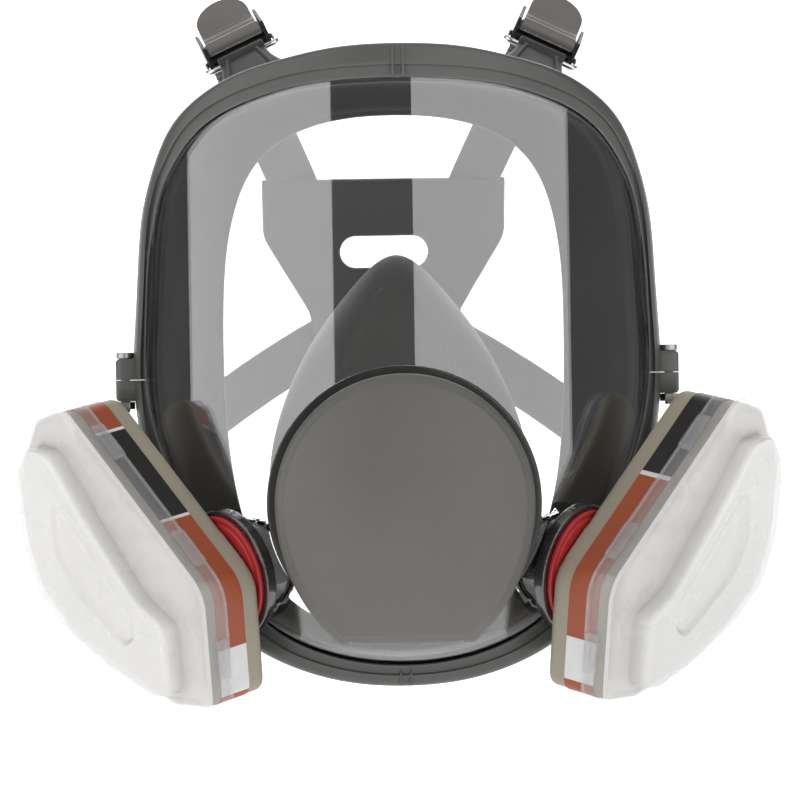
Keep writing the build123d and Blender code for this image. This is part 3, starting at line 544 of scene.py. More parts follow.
def build_lens():
    angs = np.linspace(0, 2 * np.pi, NA, endpoint=False)
    fr = np.concatenate([np.linspace(0.02, 0.93, 44), [0.96, 0.985, 1.0]])
    outer, inner = [], []
    for k in fr:
        ro, ri = [], []
        for a in angs:
            x, z = at_polar(a, (float(P_FRAME(a)) - 3.35) * k)
            ro.append((x, lens_y(x, z), z))
            ri.append((x, lens_y(x, z, -LENS_WALL), z))
        outer.append(ro)
        inner.append(ri)
    rings = outer + inner[::-1]
    v, f = loft(rings, True, False, (True, True))
    me = mesh_of("lens", v, f)
    cutters = [cylinder_mesh(ADAPT, 34.0, 60, 120), cylinder_mesh(PORT, 15.15, -30, 10),
               cylinder_mesh(PORT_R, 15.15, -30, 10)]
    me = boolean(me, cutters)
    link("visor_lens", me, MAT["lens"], "root", ("lens",))


build_lens()


# ---------------------------------------------------------------------------
# frame halves
# ---------------------------------------------------------------------------
def build_frame():
    angs = np.linspace(0, 2 * np.pi, NA * 2, endpoint=False)
    rings = []
    for a in angs:
        rf, rl = float(P_FRAME(a)), float(P_LIP(a))
        w = rf - rl

        def pt(r, off, back=0.0):
            x, z = at_polar(a, r)
            return (x, lens_y(x, z, off) + back, z)

        xo, zo = at_polar(a, rf)
        step = rl + min(w * 0.42, 3.4)
        sec = [pt(rf - 0.7, 3.2, 11.6), pt(rf - 0.15, 3.2, 11.0), pt(rf, 3.2, 9.6), pt(rf, 3.2, 6.0),
               pt(rf, 3.2, 2.6), pt(rf - 0.12, 3.2, 1.6), pt(rf - 0.5, 3.2, 0.75), pt(rf - 1.1, 3.2, 0.2),
               pt(rf - 1.9, 3.2, 0.0)]
        top = np.linspace(rf - 2.6, step + 0.9, 4)
        sec += [pt(r, 3.2) for r in top]
        sec += [pt(step + 0.45, 3.05), pt(step + 0.15, 2.6), pt(step - 0.1, 2.2), pt(step - 0.6, 2.0),
                pt(rl + 0.9, 1.9), pt(rl + 0.35, 1.75), pt(rl + 0.05, 1.2), pt(rl, 0.6), pt(rl + 0.1, 0.16),
                pt((rl + rf - 2.9) / 2, 0.16), pt(rf - 2.9, 0.16), pt(rf - 2.9, 0.16, 6.0),
                pt(rf - 2.8, 3.2, 11.4), pt(rf - 2.2, 3.2, 11.9), pt(rf - 1.4, 3.2, 12.0)]
        rings.append(sec)
    v, f = loft(rings, True, True)
    me = mesh_of("frame", v, f)
    for sx in (1, -1):
        # ears with rounded edges
        cx, cy = sx * 88.4, -46.5
        ear = []
        prof = rounded([(-4.2, -4.7), (4.2, -4.7), (4.2, 4.7), (-4.2, 4.7)], 2.2, 5)
        for z, ins in ((-10, 1.0), (-9.6, 0.35), (-9, 0), (3, 0), (3.6, 0.35), (4, 1.0)):
            k = 1 - ins / 4.4
            ear.append([(cx + px * k, cy + py * k, z) for px, py in prof])
        ev, ef = loft(ear, True, False, (True, True))
        me = boolean(me, [mesh_of("ear", ev, ef)], "UNION")
    cuts = []
    for p in (PORT, PORT_R):
        cuts += [cylinder_mesh(p, 15.6, -26, 6), cylinder_mesh(p, 21.2, -6.3, 6), cylinder_mesh(p, 95.0, -1.0, 14)]
    me = boolean(me, cuts)
    lower = half_of(me.copy(), SPLIT_Z - 0.1, below=True)
    upper = half_of(me, SPLIT_Z + 0.1, below=False)
    for name, m_, node in (("upper_frame", upper, "frame_upper"), ("lower_frame", lower, "frame_lower")):
        o = link(name, m_, MAT["frame"], "root", (node,))
        smooth_by_angle(o, 38)


def half_of(me, z, below):
    """One side of a level plane, with the cut closed."""
    bm = bmesh.new()
    bm.from_mesh(me)
    geom = list(bm.verts) + list(bm.edges) + list(bm.faces)
    res = bmesh.ops.bisect_plane(bm, geom=geom, dist=1e-7, plane_co=(0, 0, z * MM), plane_no=(0, 0, 1),
                                 clear_outer=below, clear_inner=not below)
    edges = [g for g in res["geom_cut"] if isinstance(g, bmesh.types.BMEdge) and g.is_boundary]
    bmesh.ops.holes_fill(bm, edges=edges, sides=0)
    bmesh.ops.recalc_face_normals(bm, faces=bm.faces)
    bm.to_mesh(me)
    bm.free()
    return me


def smooth_by_angle(o, deg):
    me = o.data
    bm = bmesh.new()
    bm.from_mesh(me)
    lim = math.radians(deg)
    for e in bm.edges:
        e.smooth = not (len(e.link_faces) == 2 and e.calc_face_angle(0) > lim)
    for f in bm.faces:
        f.smooth = True
    bm.to_mesh(me)
    bm.free()


build_frame()


# small mould marks at the middle of the top and the bottom of the frame
def bar(fr, sx, sy, sz, r=0.4):
    """Rounded block centred on a frame's origin."""
    prof = rounded([(-sx / 2, -sy / 2), (sx / 2, -sy / 2), (sx / 2, sy / 2), (-sx / 2, sy / 2)], r, 3)
    rings = []
    for t, ins in ((-sz / 2, r * 0.7), (-sz / 2 + r * 0.3, r * 0.2), (-sz / 2 + r, 0),
                   (sz / 2 - r, 0), (sz / 2 - r * 0.3, r * 0.2), (sz / 2, r * 0.7)):
        rings.append([fr.at(x * (1 - ins / (sx / 2)), y * (1 - ins / (sy / 2)), t) for x, y in prof])
    return loft(rings, True, False, (True, True))


def merge(parts):
    verts, faces = [], []
    for v, f in parts:
        k = len(verts)
        verts += [tuple(x) for x in v]
        faces += [tuple(i + k for i in face) for face in f]
    return verts, faces


marks = []
for z in (95.2, -99.0):
    y = lens_y(0, z, 3.2)
    marks.append(bar(Frame3((-1.6, y + 0.25, z), (1, 0, 0), (0, 0, 1)), 0.7, 9.0 if z > 0 else 4.5, 1.6, 0.25))
    marks.append(bar(Frame3((1.6, y + 0.25, z), (1, 0, 0), (0, 0, 1)), 0.7, 9.0 if z > 0 else 4.5, 1.6, 0.25))
v, f = merge(marks)
link("frame_mould_marks", mesh_of("marks", v, f), MAT["frame"], "root")

soften("frame_screws", "frame_screw_pair", MAT["steel"], 0.18, 2, 0.4)
soften("frame_nuts", "frame_nut_pair", MAT["steel"], 0.2, 2, 0.4)

# ---------------------------------------------------------------------------
# face seal
# ---------------------------------------------------------------------------
_rz = np.array([z for z, _ in REAR][::-1], float)
_ry = np.array([y for _, y in REAR][::-1], float)


def rear_y(z):
    """Height of the rear rim, smooth through its points."""
    h = 5.0
    zs = np.clip(np.array([z - h, z - h / 2, z, z + h / 2, z + h]), _rz[0], _rz[-1])
    return float(np.mean(np.interp(zs, _rz, _ry)))


def build_seal():
    angs = np.linspace(0, 2 * np.pi, NA, endpoint=False)
    rings = []
    for a in angs:
        rf, ra = float(P_FRAME(a)), float(P_FACE(a))

        def pt(r, y):
            x, z = at_polar(a, r)
            return (x, y, z)

        xo, zo = at_polar(a, rf - 3.4)
        yl = lens_y(xo, zo, -LENS_WALL) + 0.25
        yr = rear_y(zo)
        xi, zi = at_polar(a, ra)
        yi = rear_y(zi)
        out = rf - 3.5
        d = yr - yl
        sec = [pt(out - 2.6, yl + 0.2), pt(out - 1.2, yl - 0.0), pt(out - 0.2, yl + 0.5), pt(out, yl + 1.6),
               pt(out, yl + d * 0.35), pt(out, yl + d * 0.7), pt(out - 0.25, yr - 4.0), pt(out - 1.1, yr - 1.9),
               pt(out - 2.6, yr - 0.7), pt(out - 4.6, yr - 0.25)]
        span = out - 4.6 - ra
        for k in (0.2, 0.4, 0.6, 0.8):
            sag = 0.9 * math.sin(math.pi * k)
            sec.append(pt(out - 4.6 - span * k, yr + (yi - yr) * k - 0.25 - sag * 0.2))
        sec += [pt(ra + 1.0, yi - 0.35), pt(ra + 0.3, yi - 0.8), pt(ra, yi - 1.6), pt(ra + 0.35, yi - 2.6),
                pt(ra + 1.4, yi - 3.1)]
        for k in (0.8, 0.6, 0.4, 0.2):
            sec.append(pt(out - 4.6 - span * k, yr + (yi - yr) * k - 2.9))
        sec += [pt(out - 5.0, yr - 3.2), pt(out - 3.9, yr - 4.2), pt(out - 3.2, yr - 6.0),
                pt(out - 3.0, yl + d * 0.6), pt(out - 3.0, yl + d * 0.35), pt(out - 3.1, yl + 2.4),
                pt(out - 3.5, yl + 0.9)]
        rings.append(sec)
    v, f = loft(rings, True, True)
    me = mesh_of("seal", v, f)
    me = boolean(me, [cylinder_mesh(PORT, 15.6, -26, 6), cylinder_mesh(PORT_R, 15.6, -26, 6)])
    # bead under the lens edge, seen through the lens as a dark ring
    rings = []
    for a in angs:
        rf, rl = float(P_FRAME(a)), float(P_LIP(a))
        out, inn = rf - 3.6, rl - 1.2
        sec = []
        for r, o_ in ((out, -2.45), (inn + 0.5, -2.45), (inn, -3.2), (inn + 0.1, -5.5), (inn + 1.2, -7.0),
                      (out - 0.6, -7.2), (out, -6.2)):
            x, z = at_polar(a, r)
            sec.append((x, lens_y(x, z, o_), z))
        rings.append(sec)
    v2, f2 = loft(rings, True, True)
    bead = boolean(mesh_of("bead", v2, f2),
                   [cylinder_mesh(PORT, 15.6, -26, 6), cylinder_mesh(PORT_R, 15.6, -26, 6)])
    o = link("face_seal_rim", me, MAT["seal"], "root", ("face_seal",))
    b = link("face_seal_bead", bead, MAT["seal"], "root")
    smooth_by_angle(o, 60)
    smooth_by_angle(b, 60)


build_seal()


def band(path, across, widths, thicks, round_=0.45, ridges=None):
    """Flat band along a path: rounded rectangle sections; across is the width
    direction at each station, widths and thicknesses may vary."""
    rings = []
    n = len(path)
    for i in range(n):
        p = path[i]
        t = (path[min(i + 1, n - 1)] - path[max(i - 1, 0)]).normalized()
        w = (across[i] - t * across[i].dot(t)).normalized()
        nn = w.cross(t).normalized()
        hw, ht = widths[i] / 2, thicks[i] / 2
        r = min(round_ * thicks[i], hw * 0.9)
        sec = []
        for cx, cy, a0 in ((hw - r, ht - r, 0), (-(hw - r), ht - r, 90), (-(hw - r), -(ht - r), 180), (hw - r, -(ht - r), 270)):
            for k in range(4):
                q = math.radians(a0 + 30 * k)
                sec.append(p + w * (cx + r * math.cos(q)) + nn * (cy + r * math.sin(q)))
        rings.append(sec)
    return loft(rings, True, False, (True, True))


def tab_pieces():
    """Strap tabs of the seal, each rolled round its buckle wire."""
    parts = []
    for fr, root, bend in ((UPPER, Vector((-42.6, -60.0, 88.0)), 1), (LOWER, Vector((-70.5, -20.5, -57.5)), 0)):
        tip = fr.at(0, -1.0, 0)
        mid = root * 0.45 + tip * 0.55 + fr.z * (1.2 if bend else 0.6)
        path, wid, th, acr = [], [], [], []
        n = 22
        for i in range(n):
            t = i / (n - 1)
            p = root * (1 - t) ** 2 + mid * (2 * t * (1 - t)) + tip * t * t
            path.append(p)
            wid.append(16.6 + (26 if bend else 14) * (1 - t) ** 2.2)
            th.append(3.0 + 1.0 * (1 - t))
            acr.append(fr.x)
        parts.append(band(path, acr, wid, th, 0.48))
        # barrel round the wire
        prof = rounded([(1.15, -8.2), (3.1, -8.2), (3.1, 8.2), (1.15, 8.2)], 0.6, 3)
        rod = Frame3(fr.o, fr.y, fr.z)
        parts.append(lathe(rod, prof, 40))
        # stiffening ribs along the tab
        for off in (-5.2, 5.2):
            ribs = [path[i] + fr.z * 1.7 + fr.x * off * (1 + (1 - i / (n - 1)) * 0.8) for i in range(3, n - 1)]
            parts.append(band(ribs, [fr.x] * len(ribs), [1.5] * len(ribs), [1.2] * len(ribs), 0.45))
    return merge(parts)


v, f = tab_pieces()
for side, vs in (("left", v), ("right", mirrored(v))):
    link(f"seal_tabs_{side}", mesh_of(f"seal_tabs_{side}", vs, f), MAT["seal"], "root")


# ---------------------------------------------------------------------------
# nose cup
# ---------------------------------------------------------------------------
def build_cup():
    n = 160
    outs = [spline_closed(h, n) for h in (CUP_FRONT, CUP_MID, CUP_REAR)]
    ys = (-80.5, -66.0, -44.0)

    def ring(t, inset):
        # quadratic through the three outlines, like the CAD's loft
        s = (ys[1] - ys[0]) / (ys[2] - ys[0])
        l0 = (t - s) * (t - 1) / (s * 1.0)
        l1 = t * (t - 1) / (s * (s - 1))
        l2 = t * (t - s) / (1 - s)
        p = outs[0] * l0 + outs[1] * l1 + outs[2] * l2
        tan = np.roll(p, -1, 0) - np.roll(p, 1, 0)
        tan /= np.linalg.norm(tan, axis=1)[:, None]
        nrm = np.stack([tan[:, 1], -tan[:, 0]], 1)
        q = p + nrm * inset
        y = ys[0] + (ys[2] - ys[0]) * t
        res = []
        for (x, z) in q:
            yy = y
            res.append((x, yy, z))
        return res
    rings = []
    for t in np.linspace(0, 1, 26):
        rings.append(ring(t, 0.0))
    rings.append(ring(1.0, 0.6)); rings[-1] = [(x, y + 0.9, z) for x, y, z in rings[-1]]
    rings.append(ring(1.0, 1.6)); rings[-1] = [(x, y + 1.0, z) for x, y, z in rings[-1]]
    for t in np.linspace(1, 0, 20):
        rings.append(ring(t, 2.3))
    rings.append([(x, y - 0.5, z) for x, y, z in ring(0.0, 1.2)])
    v, f = loft(rings, True, True)
    o = link("nose_cup_shell", mesh_of("nose_cup_shell", v, f), MAT["cup"], "root", ("nose_cup",))
    # two folds that run down from the bridge of the nose
    parts = []
    for sx in (-1, 1):
        path = []
        for k in np.linspace(0, 1, 14):
            t = 0.62 - 0.42 * k
            r = ring(t, 0.15)
            idx = int(round((0.018 + 0.075 * k) * n)) if sx > 0 else n - int(round((0.018 + 0.075 * k) * n))
            path.append(Vector(r[idx % n]))
        parts.append(band(path, [Vector((1, 0, 0))] * len(path), [2.6 * math.sin(math.pi * (0.12 + 0.76 * i / 13)) + 0.6 for i in range(14)],
                          [1.5] * 14, 0.48))
    v, f = merge(parts)
    link("nose_cup_folds", mesh_of("nose_cup_folds", v, f), MAT["cup"], "root")


build_cup()

# ---------------------------------------------------------------------------
# centre adapter and its small parts
# ---------------------------------------------------------------------------
soften("center_adapter", "center_adapter_body", MAT["adapter"], 0.5, 5, 0.5)
soften("adapter_nut", "adapter_ring_nut", MAT["adapter"], 0.5, 2, 0.5)
soften("adapter_gasket", "adapter_seal_ring", MAT["red"], 0.45, 3, 0.5)


def shifted(fr, dx, dy):
    g = Frame3(fr.o + fr.x * dx + fr.y * dy, fr.x, fr.y)
    return g


ADAPT_OUT = Frame3((0, 0, ADAPT_Z), (1, 0, 0), (0, 0, 1))      # z runs to -Y
dia = shifted(ADAPT_OUT, 0, 15.0)
prof = [(0.01, 104.35), (12.4, 104.35), (12.7, 104.32), (15.0, 104.32), (15.0, 106.2), (14.6, 106.45), (13.0, 106.45),
        (12.6, 106.2), (12.5, 104.95), (9.0, 104.85), (8.4, 105.1), (7.6, 104.85), (5.0, 104.9), (4.4, 105.15), (3.6, 104.9), (0.01, 104.9)]
v, f = lathe(dia, prof, 96, True)
link("speaking_diaphragm_disc", mesh_of("dia", v, f), MAT["film"], "root", ("speaking_diaphragm",))
val = shifted(ADAPT_OUT, 0, -16.0)
prof = [(0.01, 104.37), (12.0, 104.37), (12.4, 104.6), (12.3, 105.0), (9.5, 105.1), (8.9, 104.9), (3.2, 105.1), (2.2, 105.3),
        (2.0, 106.1), (1.5, 106.35), (0.01, 106.35)]
v, f = lathe(val, prof, 96, True)
link("exhalation_valve_flap", mesh_of("flap", v, f), MAT["valve"], "exhalation_flap", ("exhalation_valve",))


# ---------------------------------------------------------------------------
# centre cover
# ---------------------------------------------------------------------------
def cover_outline(n=720):
    """Front outline of the cover about its own centre."""
    def arc3(p, q, r, m):
        ax, ay = p; bx, by = q; cx, cy = r
        d = 2 * (ax * (by - cy) + bx * (cy - ay) + cx * (ay - by))
        ux = ((ax * ax + ay * ay) * (by - cy) + (bx * bx + by * by) * (cy - ay) + (cx * cx + cy * cy) * (ay - by)) / d
        uy = ((ax * ax + ay * ay) * (cx - bx) + (bx * bx + by * by) * (ax - cx) + (cx * cx + cy * cy) * (bx - ax)) / d
        rr = math.hypot(ax - ux, ay - uy)
        a0, a1, a2 = (math.atan2(y - uy, x - ux) for x, y in (p, q, r))
        d1 = (a1 - a0) % (2 * math.pi)
        d2 = (a2 - a0) % (2 * math.pi)
        if d1 > d2:
            d2 -= 2 * math.pi
        return [(ux + rr * math.cos(a0 + d2 * i / m), uy + rr * math.sin(a0 + d2 * i / m)) for i in range(m)]
    R = COVER_R
    pts = arc3((R, -2), (0, R), (-R, -2), 200)
    pts += arc3((-R, -2), (-34.6, -25.5), (-21.2, -43.6), 90)
    pts += [(-21.2 + 42.4 * i / 60, -43.6) for i in range(60)]
    pts += arc3((21.2, -43.6), (34.6, -25.5), (R, -2), 90)
    return np.array(pts)


P_COVER = Polar(cover_outline(), (0, 0))


def dome(r):
    return COVER_CROWN + 0.005861 * r * r + 6.155e-7 * r**4


def build_cover():
    angs = np.linspace(0, 2 * np.pi, NA * 2, endpoint=False)
    outer = []
    spec = [("f", k) for k in np.linspace(0.03, 0.9, 26)]
    for kind, k in spec:
        outer.append([(x, dome(math.hypot(x, z)), z) for x, z in (at_polar(a, (float(P_COVER(a)) - 3.4) * k / 0.9) for a in angs)])
    rim = [(3.1, 0.0), (2.7, 0.12), (2.3, 0.42), (1.9, 0.62), (1.35, 0.75), (0.85, 1.0), (0.4, 1.5), (0.12, 2.2), (0.0, 3.0)]
    for ins, dy in rim:
        outer.append([(x, dome(math.hypot(x, z)) + dy, z) for x, z in (at_polar(a, float(P_COVER(a)) - ins) for a in angs)])
    last = outer[-1]
    for k in (0.35, 0.7, 0.96):
        outer.append([(x, y + (COVER_BACK - y) * k, z) for x, y, z in last])
    outer.append([(x * 0.994, COVER_BACK, z * 0.994) for x, y, z in last])
    inner = []
    inner.append([(x, COVER_BACK, z) for x, z in (at_polar(a, float(P_COVER(a)) - 1.8) for a in angs)])
    inner.append([(x, dome(math.hypot(x, z)) + 3.4, z) for x, z in (at_polar(a, float(P_COVER(a)) - 2.0) for a in angs)])
    for k in np.linspace(0.95, 0.03, 14):
        inner.append([(x, dome(math.hypot(x, z)) + 2.0, z) for x, z in (at_polar(a, (float(P_COVER(a)) - 2.4) * k) for a in angs)])
    rings = outer + inner
    v, f = loft(rings, True, False, (True, True))
    v = [(x, y, z + ADAPT_Z) for x, y, z in v]
    me = mesh_of("cover", v, f)
    me = boolean(me, [box_mesh((-18, COVER_BACK - 4.6, -100), (18, COVER_BACK + 3, -79))])
    o = link("cover_dome", me, MAT["cover"], "cover", ("adapter_cover",))
    smooth_by_angle(o, 50)


build_cover()

# ---------------------------------------------------------------------------
# inhalation ports, red gaskets, valves
# ---------------------------------------------------------------------------
for side in ("left", "right"):
    soften(f"inhalation_port_{side}", f"bayonet_port_{side}", MAT["port"], 0.36, 3, 0.5)
prof = rounded([(10.85, -1.68), (18.6, -1.68), (19.0, -0.9), (19.0, -0.02), (17.8, -0.02), (17.4, -0.35), (16.6, -0.35), (16.2, -0.02), (10.85, -0.02)], 0.4, 3)
v, f = lathe(PORT, prof, 120)
both("port_gasket_ring", v, f, MAT["red"], "port_gasket")
prof = [(0.01, -6.38), (10.7, -6.38), (11.1, -6.1), (11.0, -5.75), (8.0, -5.62), (0.01, -5.62)]
v, f = lathe(PORT, prof, 80)
both("inhalation_valve_flap", v, f, MAT["valve"], "inhalation_valve")

# ---------------------------------------------------------------------------
# cartridges
# ---------------------------------------------------------------------------
CEN = (30.0, 6.0)
NC = 480
CA = np.linspace(0, 2 * np.pi, NC, endpoint=False)


def outline(pts, radii, inset):
    return Polar(rounded_poly(pts, radii, inset, 0.5), CEN)


def ring_at(pol, t, grow=0.0):
    """One ring of points in the port frame: angles about the cartridge's centre."""
    out = []
    for a in CA:
        r = float(pol(a)) + grow
        u, w = CEN[0] + r * math.cos(a), CEN[1] + r * math.sin(a)
        out.append(PORT.at(-u, w, t))
    return out


for side in ("left", "right"):
    soften(f"cartridge_case_{side}", f"cartridge_case_shell_{side}", MAT["case"], 0.6, 3, 0.5)
    soften(f"cartridge_lid_{side}", f"cartridge_lid_plate_{side}", MAT["case"], 0.5, 2, 0.5)
    soften(f"carbon_bed_{side}", f"carbon_granules_{side}", MAT["carbon"], 0.9, 2, 0.5)


def label_material(side):
    """Printed band: plain colour blocks along its length, no lettering."""
    m = bpy.data.materials.new(f"label_film_{side}")
    m.use_nodes = True
    nt = m.node_tree
    b = nt.nodes["Principled BSDF"]
    tc = nt.nodes.new("ShaderNodeTexCoord")
    at = nt.nodes.new("ShaderNodeAttribute")
    at.attribute_name = "along"
    mr = nt.nodes.new("ShaderNodeMapRange")
    mr.inputs["From Min"].default_value = -10.0
    mr.inputs["From Max"].default_value = 140.0
    nt.links.new(at.outputs["Fac"], mr.inputs["Value"])
    ramp = nt.nodes.new("ShaderNodeValToRGB")
    cr = ramp.color_ramp
    cr.interpolation = "CONSTANT"
    orange, black, white = lin(159, 75, 42), lin(31, 29, 27), lin(224, 223, 221)

    def pos(mm):
        return (mm + 10.0) / 150.0
    if side == "left":
        stops = [(0.0, orange), (pos(7.2), white), (pos(8.4), black), (pos(46.0), white), (pos(47.4), orange),
                 (pos(95.5), white), (pos(111.0), orange)]
    else:
        stops = [(0.0, black), (pos(31.0), white), (pos(32.4), orange), (pos(95.0), white), (pos(109.0), orange)]
    cr.elements[0].position = 0.0
    cr.elements[0].color = stops[0][1]
    cr.elements[1].position = stops[1][0]
    cr.elements[1].color = stops[1][1]
    for p_, c_ in stops[2:]:
        e = cr.elements.new(p_)
        e.color = c_
    nt.links.new(mr.outputs["Result"], ramp.inputs["Fac"])
    n = nt.nodes.new("ShaderNodeTexNoise")
    n.inputs["Scale"].default_value = 260.0
    n.inputs["Detail"].default_value = 4.0
    nt.links.new(tc.outputs["Object"], n.inputs["Vector"])
    soft = nt.nodes.new("ShaderNodeValToRGB")
    soft.color_ramp.elements[0].color = (0.86, 0.86, 0.86, 1)
    soft.color_ramp.elements[1].color = (1, 1, 1, 1)
    nt.links.new(n.outputs["Fac"], soft.inputs["Fac"])
    mix = nt.nodes.new("ShaderNodeMix")
    mix.data_type = "RGBA"
    mix.blend_type = "MULTIPLY"
    mix.inputs[0].default_value = 1.0
    nt.links.new(ramp.outputs["Color"], mix.inputs[6])
    nt.links.new(soft.outputs["Color"], mix.inputs[7])
    nt.links.new(mix.outputs[2], b.inputs["Base Color"])
    rr = nt.nodes.new("ShaderNodeMapRange")
    rr.inputs["To Min"].default_value = 0.28
    rr.inputs["To Max"].default_value = 0.42
    nt.links.new(n.outputs["Fac"], rr.inputs["Value"])
    nt.links.new(rr.outputs["Result"], b.inputs["Roughness"])
    bp = nt.nodes.new("ShaderNodeBump")
    bp.inputs["Strength"].default_value = 0.04
    bp.inputs["Distance"].default_value = 0.0002
    nt.links.new(n.outputs["Fac"], bp.inputs["Height"])
    nt.links.new(bp.outputs["Normal"], b.inputs["Normal"])
    return m


def build_labels():
    lo, li = outline(SKIRT, SKIRT_R, CASE_INSET - 0.28), outline(SKIRT, SKIRT_R, CASE_INSET - 0.06)
    start = math.radians(76.0)
    ang = start + CA
    cos, sin = np.cos(ang), np.sin(ang)
    r = np.array([float(lo(a)) for a in ang])
    p = np.stack([CEN[0] + r * cos, CEN[1] + r * sin], 1)
    along = np.concatenate([[0], np.cumsum(np.linalg.norm(np.diff(p, axis=0), axis=1))])
    zero = along[int(np.argmin(np.linalg.norm(p - np.array([33.2, 56.0]), axis=1)))]
    along = along - zero
    along = np.where(along > 139.0, -9.5, along)

    def rg(pol, t):
        return [PORT.at(-(CEN[0] + float(pol(a)) * math.cos(a)), CEN[1] + float(pol(a)) * math.sin(a), t) for a in ang]
    rings = [rg(lo, 7.4), rg(lo, 18.35), rg(li, 18.38), rg(li, 7.37)]
    v, f = loft(rings, True, True)
    v = [tuple(x) for x in v]
    value = list(along) * 4
    for side, vs in (("left", v), ("right", mirrored(v))):
        me = bpy.data.meshes.new("label")
        me.from_pydata([tuple(c * MM for c in x) for x in vs], [], f)
        me.update()
        bm = bmesh.new()
        bm.from_mesh(me)
        bmesh.ops.recalc_face_normals(bm, faces=bm.faces)
        bm.to_mesh(me)
        bm.free()
        at = me.attributes.new("along", "FLOAT", "POINT")
        at.data.foreach_set("value", np.array(value, np.float32))
        o = link(f"cartridge_label_band_{side}", me, label_material(side), node_body[f"cartridge_label_{side}"],
                 (f"cartridge_label_{side}",))
        smooth_by_angle(o, 40)


build_labels()

# prefilter pad: felt with a soft, slightly quilted face
pp = outline(PLATEAU, PLATEAU_R, 1.8)
rings = []
for t, g in ((22.3, -1.0), (22.5, -0.2), (23.2, 0.0), (25.4, 0.0), (26.2, -0.3), (26.45, -1.1)):
    rings.append(ring_at(pp, t, g))
v, f = loft(rings, True, False, (True, True))
for side, vs in (("left", [tuple(x) for x in v]), ("right", mirrored(v))):
    o = link(f"prefilter_pad_{side}", mesh_of(f"prefilter_pad_{side}", vs, f), MAT["felt"],
             node_body[f"prefilter_{side}"], (f"prefilter_{side}",))


